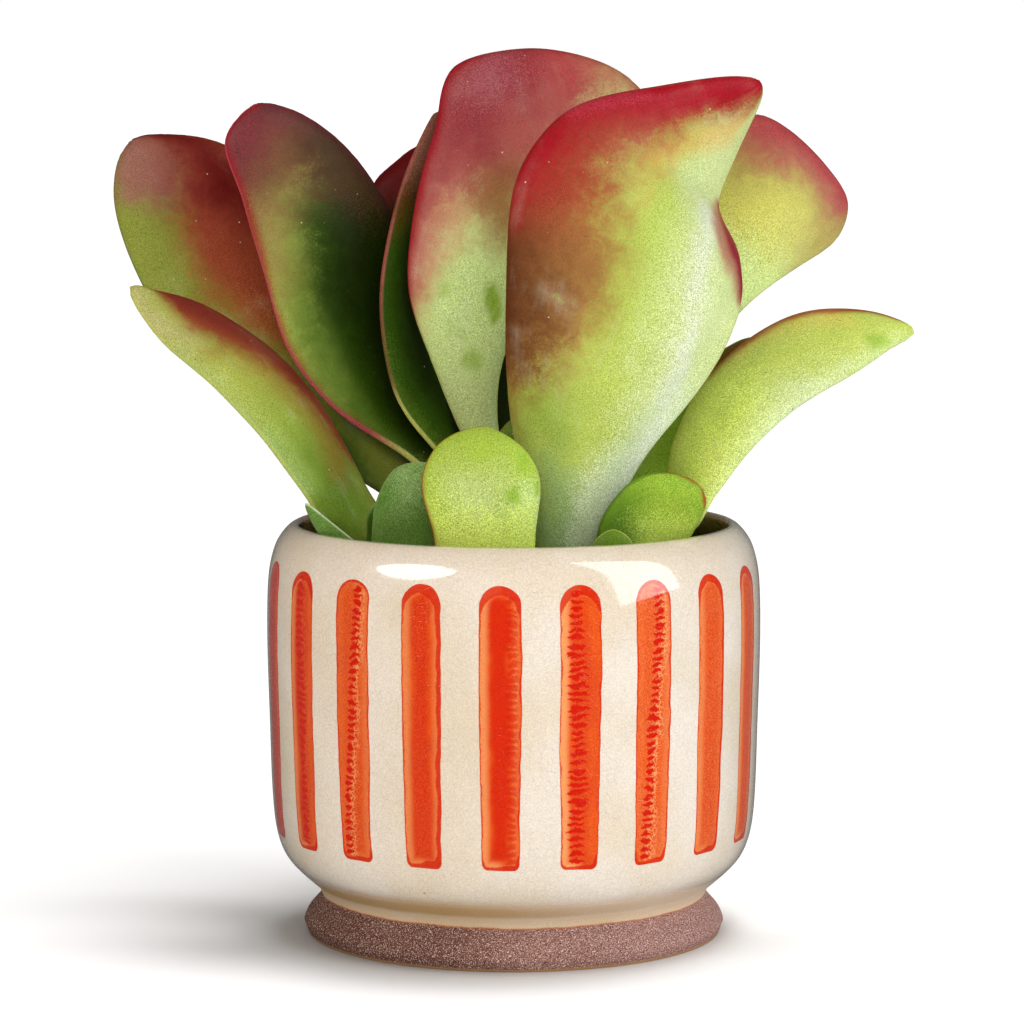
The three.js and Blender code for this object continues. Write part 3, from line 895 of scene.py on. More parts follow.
def makeLeafNoise():
    # the patterns that a leaf's colours and relief are broken up by
    group, given, result = startGroup("leafNoise", {"Float": ["Seed"]}, {"Float": leafPatterns})
    seedShift = addNode(group, "ShaderNodeCombineXYZ", {0: given["Seed"], 1: given["Seed"]}).outputs[0]
    place = addNode(group, "ShaderNodeVectorMath", {0: placeInMm(group), 1: seedShift}).outputs[0]
    crosswise = times(group, readValue(group, "side"), brushedSize[0])
    lengthwise = times(group, readValue(group, "along"), brushedSize[1])
    stretched = {0: crosswise, 1: given["Seed"], 2: lengthwise}
    streaks = addNode(group, "ShaderNodeCombineXYZ", stretched).outputs[0]
    made = {}
    for name, shape in leafNoises.items():
        made[name] = noiseValue(group, streaks if name == "Brushed" else place, *shape)
    made["Speckle"] = mixValue(group, 0.7, made["Grain"], made["Fine"])
    for name, value in made.items():
        group.links.new(value, result[name])
    return group


coatPatterns = ("Speckle", "Ragged", "Wander")


def makeLeafCoat():
    # one coat of colour over another, with a border that wanders a little and breaks up into grains
    inputs = {"Color": ["Color", "Coat"], "Float": ["Depth", "Softness", "Strength", *coatPatterns]}
    group, given, result = startGroup("leafCoat", inputs, {"Color": ["Color"]})
    softness = given["Softness"]
    grainy = times(group, softness, shift(group, given["Speckle"], 4.2))
    wavy = times(group, softness, shift(group, given["Ragged"], 1.5, 0.5, shift(group, given["Wander"], 1.5)))
    worn = calc(group, "ADD", calc(group, "ADD", given["Depth"], grainy), wavy)
    cover = times(group, ramp(group, worn, times(group, softness, -1.0), softness), given["Strength"])
    group.links.new(mixColor(group, cover, given["Color"], given["Coat"]), result["Color"])
    return group


def makeLeafFinish():
    # what lies over a leaf's coats: rubbed patches, its margins, its grain and its specks
    inputs = {
        "Color": ["Color", "Rubbed", "Powder", "Blush", "Edge Left", "Edge Right", "Edge Foot"],
        "Float": [
            "Edge Turn", "Edge Width", "Line Left", "Line Right", "Blush Left", "Blush Right",
            "Blush Width", "Blush Start", "Bloom", "Patches", "Brown Dots", *leafPatterns,
        ],
    }
    outputs = {"Color": ["Color"], "Float": ["Roughness", "Height"]}
    group, given, result = startGroup("leafFinish", inputs, outputs)
    place = placeInMm(group)
    along = readValue(group, "along")
    rim = readValue(group, "rim")
    color = given["Color"]

    # thin bloom in brushed clouds, and small patches without it
    bloom = ramp(group, shift(group, given["Brushed"], 0.6, 0.5, given["Clouds"]), 0.5, 0.85)
    bloom = times(group, bloom, ramp(group, along, 0.75, 0.5, 0.1, 0.35), given["Bloom"])
    color = mixColor(group, bloom, color, given["Powder"])
    patch = ramp(group, shift(group, given["Ragged"], 0.4, 0.5, given["Clouds"]), 0.68, 0.74)
    patch = times(group, patch, ramp(group, given["Speckle"], 0.34, 0.5))
    patch = times(group, patch, given["Patches"], ramp(group, along, 0.6, 0.45))
    color = mixColor(group, patch, color, given["Rubbed"])

    # the margins: a thin line, with a blush beside it
    toRight = ramp(group, readValue(group, "side"), -0.3, 0.3)
    blushed = shift(group, given["Speckle"], 3.0, 0.5, shift(group, given["Wander"], 6.0, 0.5, rim))
    blush = ramp(group, blushed, given["Blush Width"], 0.0)
    blush = times(group, blush, mixValue(group, toRight, given["Blush Left"], given["Blush Right"]))
    pastStart = calc(group, "SUBTRACT", along, given["Blush Start"])
    blush = times(group, blush, ramp(group, pastStart, 0.0, 0.15))
    color = mixColor(group, blush, color, given["Blush"])
    lineEnd = times(group, given["Edge Width"], 0.3)
    line = ramp(group, shift(group, given["Speckle"], 0.9, 0.5, rim), given["Edge Width"], lineEnd)
    line = times(group, line, mixValue(group, toRight, given["Line Left"], given["Line Right"]))
    line = times(group, line, ramp(group, given["Wander"], 0.35, 0.55, 0.35, 1.0))
    edge = mixColor(group, toRight, given["Edge Left"], given["Edge Right"])
    upFrom = calc(group, "SUBTRACT", along, given["Edge Turn"])
    edge = mixColor(group, ramp(group, upFrom, -0.06, 0.04), given["Edge Foot"], edge)
    color = mixColor(group, line, color, edge)

    # fine grain, tiny white specks and small brown ones
    value = shift(group, given["Grain"], 0.35, 0.5, shift(group, given["Clouds"], 0.25, 0.5, 1.0))
    color = brighten(group, color, shift(group, given["Fine"], 2.4, 0.5, value))
    dots = cellPattern(group, place, 3.2)
    chosen = addNode(group, "ShaderNodeSeparateColor", {0: dots["Color"]})
    dot = ramp(group, dots["Distance"], 0.1, 0.04)
    often = ramp(group, along, 0.3, 0.9, 0.95, 0.82)
    whiteDot = times(group, dot, calc(group, "GREATER_THAN", chosen.outputs[0], often))
    brownDot = times(group, dot, ramp(group, chosen.outputs[1], 0.84, 0.86))
    color = mixColor(group, times(group, whiteDot, 0.55), color, hexColor(palette["whiteSpeck"]))
    brownDot = times(group, brownDot, given["Brown Dots"])
    color = mixColor(group, brownDot, color, hexColor(palette["brownSpeck"]))

    group.links.new(color, result["Color"])
    roughness = calc(group, "MULTIPLY_ADD", bloom, 0.6, shift(group, given["Grain"], 0.3, 0.5, 0.42))
    group.links.new(roughness, result["Roughness"])
    group.links.new(shift(group, given["Fine"], 0.6, 0.5, given["Grain"]), result["Height"])
    return group


def leafMaterial(node, noises, coat, finish, seed):
    look = lookOf(node)
    name = node.replace("leaf_", "skin_")
    material, tree, shader = newMaterial(name, Specular_IOR_Level=look["gloss"])
    noise = useGroup(tree, noises, {"Seed": seed})
    color = hexColor(palette[look["ground"]])
    for number, (coatColor, softness, strength, _) in enumerate(look["coats"]):
        values = {
            "Color": color, "Coat": hexColor(palette[coatColor]), "Depth": readValue(tree, f"coat{number}"),
            "Softness": softness, "Strength": strength, **{label: noise[label] for label in coatPatterns},
        }
        color = useGroup(tree, coat, values)["Color"]
    values = {label: noise[label] for label in leafPatterns}
    values.update({
        "Color": color, "Rubbed": hexColor(palette["rubbed"]), "Powder": hexColor(palette["bloomAndSheen"]),
        "Bloom": look["bloom"], "Patches": look["patches"], "Brown Dots": look["brownDots"],
        "Blush": hexColor(palette["crimson"]), "Blush Width": look["blushWidth"],
        "Blush Start": look["blushStart"], "Edge Width": look["edgeWidth"],
        "Edge Foot": hexColor(palette[look["edgeFoot"]]), "Edge Turn": look["edgeTurn"],
    })
    for at, side in enumerate(("Left", "Right")):
        values[f"Edge {side}"] = hexColor(palette[look["edge"][at]])
        values[f"Line {side}"] = look["edgeLine"][at]
        values[f"Blush {side}"] = look["blush"][at]
    skin = useGroup(tree, finish, values)
    tree.links.new(skin["Color"], shader.inputs["Base Color"])
    tree.links.new(skin["Roughness"], shader.inputs["Roughness"])
    addBump(tree, shader, skin["Height"], 0.1, 0.6)
    return material


def makeLeaves():
    noises, coat, finish = makeLeafNoise(), makeLeafCoat(), makeLeafFinish()
    nodes = sorted(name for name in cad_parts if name.startswith("leaf_"))
    for number, node in enumerate(nodes):
        makeLeaf(node, leafMaterial(node, noises, coat, finish, 40.0 * number))
    print("leaves:", len(nodes))


# Pot

potShape = {
    "sides": 240,
    "closeStep": 1.1 * mm,   # between the rows of points outside and over the rim
    "wideStep": 5 * mm,      # and on the underside and down the inside
    "sharpTurn": 35,         # degrees, past which a corner of the profile stays a corner
    "unevenness": 0.12 * mm,
}

stripes = {
    # sizes and heights in mm
    "count": 20,
    "frontTurn": -3,         # degrees from the front to the middle of the front stripe
    "halfWidth": 5.7,
    "low": 29.8,
    "high": 107.5,
    "topRound": 5.6,
    "bottomRound": 2.0,
    "potRadius": 69.5,
    "seed": 7,               # for the stripes around the back
    "body": ("DA5010", "D03C08"),
    "core": "CC2600",
    "worn": "E2783C",        # where it is light all over
    "strip": "E69458",       # along its sides
    "thread": "EAA66E",
    "drop": "C81600",
    "rim": "CA1C00",
    "dropStep": 2.1,         # from one drop to the next
    # from the left: red of the core, light at the left edge, light at the right edge, light all over,
    # pooled red at the top, rim on the right, strength of the row of drops, where it is at the top and at the
    # bottom (mm), length of a drop (mm), and light threads beside it
    "shown": [
        (0.9, 0.1, 0.1, 0.0, 0.3, 0.5, 0.0, 0.0, 0.0, 2.0, 0.0),
        (0.9, 0.6, 0.1, 0.1, 0.9, 0.3, 0.9, -1.0, 0.2, 2.0, 0.2),
        (0.3, 0.1, 0.3, 0.4, 0.1, 0.4, 1.0, 1.6, -2.8, 1.6, 0.9),
        (0.9, 0.6, 0.4, 0.2, 1.0, 1.3, 0.0, 0.0, 0.0, 2.0, 0.0),
        (1.0, 0.8, 0.2, 0.0, 1.2, 0.4, 0.6, 3.2, 3.4, 2.2, 0.5),
        (0.5, 1.0, 0.0, 0.2, 1.3, 0.3, 1.0, -1.4, -1.2, 2.6, 0.0),
        (0.2, 0.1, 0.3, 0.6, 0.2, 0.5, 1.0, 1.4, -2.2, 1.7, 1.0),
        (0.5, 0.5, 0.1, 0.6, 0.8, 0.9, 0.0, 0.0, 0.0, 2.0, 0.0),
        (0.4, 0.7, 0.3, 0.4, 0.8, 0.9, 0.0, 0.0, 0.0, 2.0, 0.0),
    ],
}

stripeValues = (
    "coreRed", "leftLight", "rightLight", "allLight", "topPool", "rightRim",
    "drops", "dropsTop", "dropsBottom", "dropLength", "threads",
)


def potProfile():
    # the pot's section as the CAD solid has it, from the middle of the underside round to that of the floor
    solid = bmesh.new()
    solid.from_mesh(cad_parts["pot"].data)
    bmesh.ops.remove_doubles(solid, verts=solid.verts, dist=1e-6)
    inPlane = {v for v in solid.verts if abs(v.co.y) < 1e-6 and v.co.x > -1e-6}
    walk = [min(inPlane, key=lambda v: v.co.z + v.co.x)]
    while True:
        onward = [v for v in touching(walk[-1]) if v in inPlane and v not in walk]
        if not onward:
            break
        walk.append(onward[0])
    section = np.array([(v.co.x, v.co.z) for v in walk])
    solid.free()
    return section


def smoothProfile(section):
    # splines between the section's corners, with closer points where the outside is seen
    heading = np.diff(section, axis=0)
    angle = np.unwrap(np.arctan2(heading[:, 1], heading[:, 0]))
    turned = np.abs(np.degrees(np.diff(angle)))
    corners = [0, *(np.flatnonzero(turned > potShape["sharpTurn"]) + 1), len(section) - 1]
    rim = section[:, 1].argmax()
    line = []
    for start, end in zip(corners[:-1], corners[1:]):
        part = section[start:end + 1]
        knots = distances(part)
        outside = start > 0 and start <= rim + 2
        step = potShape["closeStep"] if outside else potShape["wideStep"]
        count = max(1, round(knots[-1] / step))
        places = np.linspace(0, knots[-1], count + 1)
        line.append(smoothCurve(part, knots, places)[:-1])
    return np.vstack([*line, section[-1:]])


def makePot():
    section = smoothProfile(potProfile())
    sides = potShape["sides"]
    angles = 2 * np.pi * np.arange(sides) / sides
    inner = section[1:-1]
    points = []
    for angle in angles:
        outwards = np.array([math.sin(angle), -math.cos(angle)])
        for radius, height in inner:
            place = Vector((outwards[0] * 2, outwards[1] * 2, height * 25))
            uneven = potShape["unevenness"] * solidNoise.noise(place) if height > 0.002 else 0
            points.append((*(outwards * (radius + uneven)), height))
    rows = len(inner)
    underside, floor = len(points), len(points) + 1
    points += [(0, 0, section[0, 1]), (0, 0, section[-1, 1])]
    faces = []
    for i in range(sides):
        a, b = i * rows, (i + 1) % sides * rows
        faces.append((underside, b, a))
        for row in range(rows - 1):
            faces.append((a + row, b + row, b + row + 1, a + row + 1))
        faces.append((a + rows - 1, b + rows - 1, floor))
    pot = makePiece("stripedPot", points, faces, potMaterial(), ["pot"])
    addStripeMap(pot.data)
    print("pot:", len(faces), "faces")


def addStripeMap(mesh):
    # a UV map that runs across each stripe's share of the pot, and each stripe's own values on its faces
    sector = 360 / stripes["count"]
    randomizer = random.Random(stripes["seed"])
    table = list(stripes["shown"])
    while len(table) < stripes["count"]:
        table.append([value * randomizer.uniform(0.6, 1.3) for value in randomizer.choice(stripes["shown"])])
    centres = np.array([face.center[:] for face in mesh.polygons])
    turns = np.degrees(np.arctan2(centres[:, 0], -centres[:, 1])) - stripes["frontTurn"]
    numbers = np.round(turns / sector).astype(int)
    firstShown = -(len(stripes["shown"]) // 2)
    rows = (numbers - firstShown) % stripes["count"]
    for column, name in enumerate(stripeValues):
        addValues(mesh, name, [table[row][column] for row in rows], "FACE")
    stripeMap = mesh.uv_layers.new(name="stripeMap")
    for face, number in zip(mesh.polygons, numbers):
        middle = number * sector
        for loop in face.loop_indices:
            x, y, z = mesh.vertices[mesh.loops[loop].vertex_index].co
            turn = math.degrees(math.atan2(x, -y)) - stripes["frontTurn"] - middle
            turn = (turn + 180) % 360 - 180
            stripeMap.data[loop].uv = (0.5 + turn / sector, z / (cadBox[1][2] - cadBox[0][2]))


def stripeDepth(tree, across, height, sway, ragged):
    # how deep inside the stripe's outline a point is, in millimetres
    middle = (stripes["low"] + stripes["high"]) / 2
    halfHeight = (stripes["high"] - stripes["low"]) / 2
    upDown = calc(tree, "SUBTRACT", height, middle)
    corner = mixValue(tree, ramp(tree, upDown, -2.0, 2.0), stripes["bottomRound"], stripes["topRound"])
    pastSide = calc(tree, "SUBTRACT", calc(tree, "ABSOLUTE", across), stripes["halfWidth"])
    pastEnd = calc(tree, "SUBTRACT", calc(tree, "ABSOLUTE", upDown), halfHeight)
    outX = calc(tree, "ADD", shift(tree, ragged, 0.7, 0.5, pastSide), corner)
    outZ = calc(tree, "ADD", shift(tree, sway, 1.5, 0.5, pastEnd), corner)
    clearX = calc(tree, "MAXIMUM", outX, 0.0)
    clearZ = calc(tree, "MAXIMUM", outZ, 0.0)
    squared = calc(tree, "MULTIPLY_ADD", clearX, clearX, times(tree, clearZ, clearZ))
    within = calc(tree, "MINIMUM", calc(tree, "MAXIMUM", outX, outZ), 0.0)
    return calc(tree, "SUBTRACT", corner, calc(tree, "ADD", calc(tree, "SQRT", squared), within))


def stripeDrops(tree, place, height, across, sway, ragged, core, fine, values):
    # the row of drops, one above the other, and the thin light threads beside it
    fall = ramp(tree, height, stripes["high"], stripes["low"])
    dropLine = mixValue(tree, fall, values["dropsTop"], values["dropsBottom"])
    fromLine = calc(tree, "SUBTRACT", shift(tree, sway, -3.0, 0.5, across), dropLine)
    reach = times(tree, values["dropLength"], shift(tree, core, 2.4, 0.5, 1.0))
    spread = calc(tree, "DIVIDE", fromLine, reach)
    spread = times(tree, spread, ramp(tree, spread, 0.0, 0.3, 1.0, 0.75))
    count = calc(tree, "ADD", times(tree, height, 1 / stripes["dropStep"]), times(tree, ragged, 2.6))
    beat = calc(tree, "ABSOLUTE", shift(tree, calc(tree, "FRACT", count), 2.0))
    inner = calc(tree, "MULTIPLY_ADD", times(tree, spread, spread), 0.8, beat)
    drop = times(tree, ramp(tree, shift(tree, fine, 0.9, 0.5, inner), 0.9, 0.5), values["drops"])
    lines = cellPattern(tree, bendPlace(tree, place, 2, 1.6), 1.3, "DISTANCE_TO_EDGE")["Distance"]
    nearLine = ramp(tree, calc(tree, "ABSOLUTE", calc(tree, "SUBTRACT", spread, 0.8)), 1.0, 0.2)
    thread = times(tree, ramp(tree, shift(tree, fine, 0.12, 0.5, lines), 0.12, 0.02), nearLine)
    return drop, times(tree, thread, values["threads"])


def stripePaint(tree, place, fine):
    # the stripes' mask, colour and relief
    sectorWidth = 2 * math.pi * stripes["potRadius"] / stripes["count"]
    stripeMap = addNode(tree, "ShaderNodeUVMap", uv_map="stripeMap").outputs[0]
    acrossShare = splitPlace(tree, stripeMap)[0]
    height = splitPlace(tree, place)[2]
    sway = noiseValue(tree, place, 20, 2, 0.5)
    ragged = noiseValue(tree, place, 5.0, 3, 0.5)
    core = noiseValue(tree, place, 14, 3, 0.6)
    narrower = ramp(tree, height, stripes["low"], stripes["low"] + 40, 1.09, 1.0)
    across = times(tree, shift(tree, sway, 1.0, 0.5, shift(tree, acrossShare, sectorWidth)), narrower)
    values = {name: readValue(tree, name) for name in stripeValues}
    depth = stripeDepth(tree, across, height, sway, ragged)
    mask = ramp(tree, depth, -0.12, 0.12)

    # orange body, redder core, light strips beside the rims
    toRight = ramp(tree, across, -1.5, 1.5)
    light = mixValue(tree, toRight, values["leftLight"], values["rightLight"])
    color = mixColor(tree, ramp(tree, core, 0.3, 0.7), *hexColors(stripes["body"]))
    red = times(tree, ramp(tree, shift(tree, core, 5.0, 0.5, depth), 1.5, 4.5), values["coreRed"])
    color = mixColor(tree, red, color, hexColor(stripes["core"]))
    worn = times(tree, values["allLight"], ramp(tree, shift(tree, fine, 2.0, 0.5, core), 0.1, 0.9))
    color = mixColor(tree, worn, color, hexColor(stripes["worn"]))
    strip = times(tree, ramp(tree, shift(tree, fine, 2.0, 0.5, depth), 3.4, 1.2), light)
    color = mixColor(tree, strip, color, hexColor(stripes["strip"]))

    drop, thread = stripeDrops(tree, place, height, across, sway, ragged, core, fine, values)
    inPlay = ramp(tree, depth, 0.6, 1.6)
    color = mixColor(tree, times(tree, thread, inPlay, 0.8), color, hexColor(stripes["thread"]))
    color = mixColor(tree, times(tree, drop, inPlay), color, hexColor(stripes["drop"]))

    # the rim where the colour has pooled, widest at the top and at the foot's right corner
    atTop = ramp(tree, height, stripes["high"] - 9, stripes["high"] - 1, 0.0, 2.0)
    atBottom = ramp(tree, height, stripes["low"] + 5, stripes["low"] + 0.5, 0.0, 0.9)
    rimWidth = mixValue(tree, toRight, 0.35, values["rightRim"])
    rimWidth = calc(tree, "ADD", rimWidth, times(tree, atTop, values["topPool"]))
    rimWidth = calc(tree, "ADD", rimWidth, times(tree, atBottom, ramp(tree, across, -4, 4, 0.6, 1.3)))
    rimWidth = shift(tree, ragged, 1.1, 0.5, rimWidth)
    inwards = calc(tree, "SUBTRACT", shift(tree, fine, 0.5, 0.5, depth), rimWidth)
    pooled = ramp(tree, inwards, 0.25, -0.15)
    color = mixColor(tree, times(tree, pooled, 0.85), color, hexColor(stripes["rim"]))
    return mask, color, times(tree, calc(tree, "ADD", pooled, drop), mask)


glazeLook = {
    # sizes and heights in mm
    "cream": ("D8CAB3", "E0D6C8"),
    "sandSize": 0.42,
    "crack": "C2AB88",
    "crackStep": 2.4,
    "pinhole": "8A6038",
    "pinholeStep": 11,
    "neck": "B4925E",           # painted shade where the belly turns under above the neck,
    "neckTop": (21.5, 16.5),    # which fades in below the belly
    "neckFoot": (13.2, 15.4),   # and out above the collar,
    "neckSides": (-20.0, 50.0, 0.95, 0.45),   # weaker from the first x to the second, so the painted shade is darkest at the left
    "collar": "C8A878",         # thin glaze at its lower end
    "collarTop": (14.8, 13.4),
    "fringe": "B0643A",         # toasted where it meets the clay
    "fringeTop": (11.7, 11.1),
    # painted shade inside the pot: dark olive low down, lighter towards the rim
    "inside": ("2A2608", "8E8442"),
    "insideHeights": (104.0, 114.0),
    "insideFrom": (64.2, 62.6),     # the radius and heights
    "insideUnder": (116.0, 114.6),  # that bound the inside
    "insideOver": (30.0, 32.0),
    "lip": "B27C46",
    "lipFrom": (61.7, 61.2),        # the radius and height
    "lipOver": (114.6, 115.4),      # that bound the lip
    "dullNeck": (20.0, 15.5),
}

clayLook = {
    # the clay's tones at the left and at the right: painted shade and painted light across the foot
    "body": ("62382C", "A0746A"),
    "top": (11.2, 10.8),
    "lightGrain": "E4CCC0",
    "darkGrain": "34180F",
    "grainSize": 0.34,
    "wornEdge": "C89C68",
    "wornUnder": (1.0, 0.3),
}


def creamGlaze(tree, place, fine, cloud):
    # cream with a sandy grain, a net of hair cracks and a few pinholes
    cream = mixColor(tree, ramp(tree, cloud, 0.3, 0.7), *hexColors(glazeLook["cream"]))
    cream = brighten(tree, cream, shift(tree, fine, 0.75, 0.5, 1.0))
    bent = bendPlace(tree, place, 6, 4.0)
    borders = cellPattern(tree, bent, glazeLook["crackStep"], "DISTANCE_TO_EDGE")["Distance"]
    crack = times(tree, ramp(tree, borders, 0.05, 0.01), ramp(tree, noiseValue(tree, place, 9, 2), 0.3, 0.55))
    cream = mixColor(tree, times(tree, crack, 0.06), cream, hexColor(glazeLook["crack"]))
    pins = cellPattern(tree, place, glazeLook["pinholeStep"])
    picked = addNode(tree, "ShaderNodeSeparateColor", {0: pins["Color"]}).outputs[0]
    pin = times(tree, ramp(tree, pins["Distance"], 0.045, 0.02), ramp(tree, picked, 0.74, 0.76))
    cream = mixColor(tree, times(tree, pin, 0.8), cream, hexColor(glazeLook["pinhole"]))
    return cream, crack


def neckAndInside(tree, glaze, place, fine, glazeHeight):
    # painted shade above the neck, most at the left, and on the inside dark olive painted shade that lightens
    # towards the rim, and a toasted lip
    x, y, height = splitPlace(tree, place)
    # painted shade on the belly's underside above the neck, fading out to the right
    neck = ramp(tree, glazeHeight, *glazeLook["neckFoot"])
    neck = times(tree, neck, ramp(tree, glazeHeight, *glazeLook["neckTop"]))
    neck = times(tree, neck, ramp(tree, x, *glazeLook["neckSides"]))
    glaze = mixColor(tree, neck, glaze, hexColor(glazeLook["neck"]))
    collar = ramp(tree, glazeHeight, *glazeLook["collarTop"])
    collar = times(tree, collar, ramp(tree, fine, 0.3, 0.7, 0.3, 0.9))
    glaze = mixColor(tree, collar, glaze, hexColor(glazeLook["collar"]))
    flat = addNode(tree, "ShaderNodeCombineXYZ", {0: x, 1: y}).outputs[0]
    radius = addNode(tree, "ShaderNodeVectorMath", {0: flat}, operation="LENGTH").outputs["Value"]
    # painted shade inside the pot, darkest deepest down
    inside = ramp(tree, radius, *glazeLook["insideFrom"])
    inside = times(tree, inside, ramp(tree, height, *glazeLook["insideUnder"]))
    inside = times(tree, inside, ramp(tree, height, *glazeLook["insideOver"]))
    olive = mixColor(tree, ramp(tree, height, *glazeLook["insideHeights"]), *hexColors(glazeLook["inside"]))
    glaze = mixColor(tree, inside, glaze, olive)
    lip = times(tree, ramp(tree, radius, *glazeLook["lipFrom"]), ramp(tree, height, *glazeLook["lipOver"]))
    return mixColor(tree, times(tree, lip, 0.7), glaze, hexColor(glazeLook["lip"]))


def bareClay(tree, place, cloud, grit):
    # brown clay, darker to the left as painted shade and lighter to the right as painted light, with light
    # and dark grains and a worn lower edge
    x, _, height = splitPlace(tree, place)
    litToRight = ramp(tree, shift(tree, cloud, 60.0, 0.5, x), -60.0, 50.0)
    clay = mixColor(tree, litToRight, *hexColors(clayLook["body"]))
    clay = mixColor(tree, ramp(tree, grit, 0.55, 0.66), clay, hexColor(clayLook["lightGrain"]))
    clay = mixColor(tree, ramp(tree, grit, 0.46, 0.36), clay, hexColor(clayLook["darkGrain"]))
    worn = ramp(tree, height, *clayLook["wornUnder"])
    return mixColor(tree, worn, clay, hexColor(clayLook["wornEdge"]))


def potMaterial():
    constants = {"Specular_IOR_Level": 0.3, "Coat_Roughness": 0.02, "Coat_IOR": 1.5}
    material, tree, shader = newMaterial("glazeAndClay", **constants)
    place = placeInMm(tree)
    height = splitPlace(tree, place)[2]
    fine = noiseValue(tree, place, glazeLook["sandSize"], 2, 0.7)
    cloud = noiseValue(tree, place, 30, 3, 0.5)
    grit = noiseValue(tree, place, clayLook["grainSize"], 2, 0.7)
    cream, crack = creamGlaze(tree, place, fine, cloud)
    mask, stripeColor, relief = stripePaint(tree, place, fine)
    glaze = mixColor(tree, mask, cream, brighten(tree, stripeColor, shift(tree, fine, 0.7, 0.5, 1.0)))
    glazeHeight = shift(tree, noiseValue(tree, place, 16, 3, 0.6), 1.2, 0.5, height)
    glaze = neckAndInside(tree, glaze, place, fine, glazeHeight)
    edgeHeight = shift(tree, fine, 1.0, 0.5, glazeHeight)
    fringe = ramp(tree, edgeHeight, *glazeLook["fringeTop"])
    glaze = mixColor(tree, fringe, glaze, hexColor(glazeLook["fringe"]))
    bare = ramp(tree, edgeHeight, *clayLook["top"])
    color = mixColor(tree, bare, glaze, bareClay(tree, place, cloud, grit))
    tree.links.new(color, shader.inputs["Base Color"])

    # the clay is dull, and so is most of the neck
    dullNeck = times(tree, ramp(tree, height, *glazeLook["dullNeck"]), 0.75)
    dull = calc(tree, "MAXIMUM", bare, dullNeck)
    glossy = mixValue(tree, dull, shift(tree, cloud, 0.06, 0.5, 0.14), 0.85)
    tree.links.new(glossy, shader.inputs["Roughness"])
    tree.links.new(mixValue(tree, dull, 1.0, 0.0), shader.inputs["Coat Weight"])
    glazeRelief = calc(tree, "MULTIPLY_ADD", crack, -0.32, times(tree, relief, 0.12))
    glazeRelief = calc(tree, "MULTIPLY_ADD", fine, 0.10, glazeRelief)
    addBump(tree, shader, mixValue(tree, bare, glazeRelief, times(tree, grit, 1.6)), 0.16)
    return material


# Potting mix and stem

soilShape = {
    "rings": 44,
    "sides": 160,
    "depth": 12 * mm,
    "gapAtPot": 0.6 * mm,
    "gapAtStem": 0.2 * mm,
    "lower": 1.4 * mm,       # how far the middle of its grit lies under the top of the CAD solid
    "grit": 1.1 * mm,
    "crumbs": 620,
    "crumbKinds": 4,
    "crumbSize": 3.2 * mm,
    "crumbFlatness": 0.55,
    "seed": 11,
}


def soilHeightAt(x, y, top):
    place = Vector((x, y, 0.0))
    return top + soilShape["grit"] * (solidNoise.noise(place * 180) + 0.6 * solidNoise.noise(place * 500))


def makeSoil(material):
    low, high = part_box("soil")
    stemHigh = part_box("stem")[1]
    outer = (high.x - low.x) / 2 - soilShape["gapAtPot"]
    hole = stemHigh.x + soilShape["gapAtStem"]
    top = high.z - soilShape["lower"]
    sides, rings = soilShape["sides"], soilShape["rings"]
    points = []
    for ring in range(rings + 1):
        radius = outer + (hole - outer) * ring / rings
        for i in range(sides):
            x, y, _ = circlePoint(radius, top, i, sides)
            points.append((x, y, soilHeightAt(x, y, top)))
    for radius in (hole, outer):
        points += [circlePoint(radius, top - soilShape["depth"], i, sides) for i in range(sides)]
    faces = ringFaces(rings + 3, sides, joined=True)
    return makePiece("pottingMix", points, faces, material, ["soil"])


def makeCrumb(index, material):
    # one small broken crumb, a few dozen faces
    crumb = bmesh.new()
    bmesh.ops.create_icosphere(crumb, subdivisions=1, radius=1.0)
    for point in crumb.verts:
        wobble = 0.35 * solidNoise.noise(point.co * 1.7 + Vector((index * 5.1, 0, 0)))
        point.co *= 1 + wobble
        point.co.z *= soilShape["crumbFlatness"]
    mesh = bpy.data.meshes.new("crumb")
    crumb.to_mesh(mesh)
    crumb.free()
    mesh.materials.append(material)
    return bpy.data.objects.new("crumb", mesh)


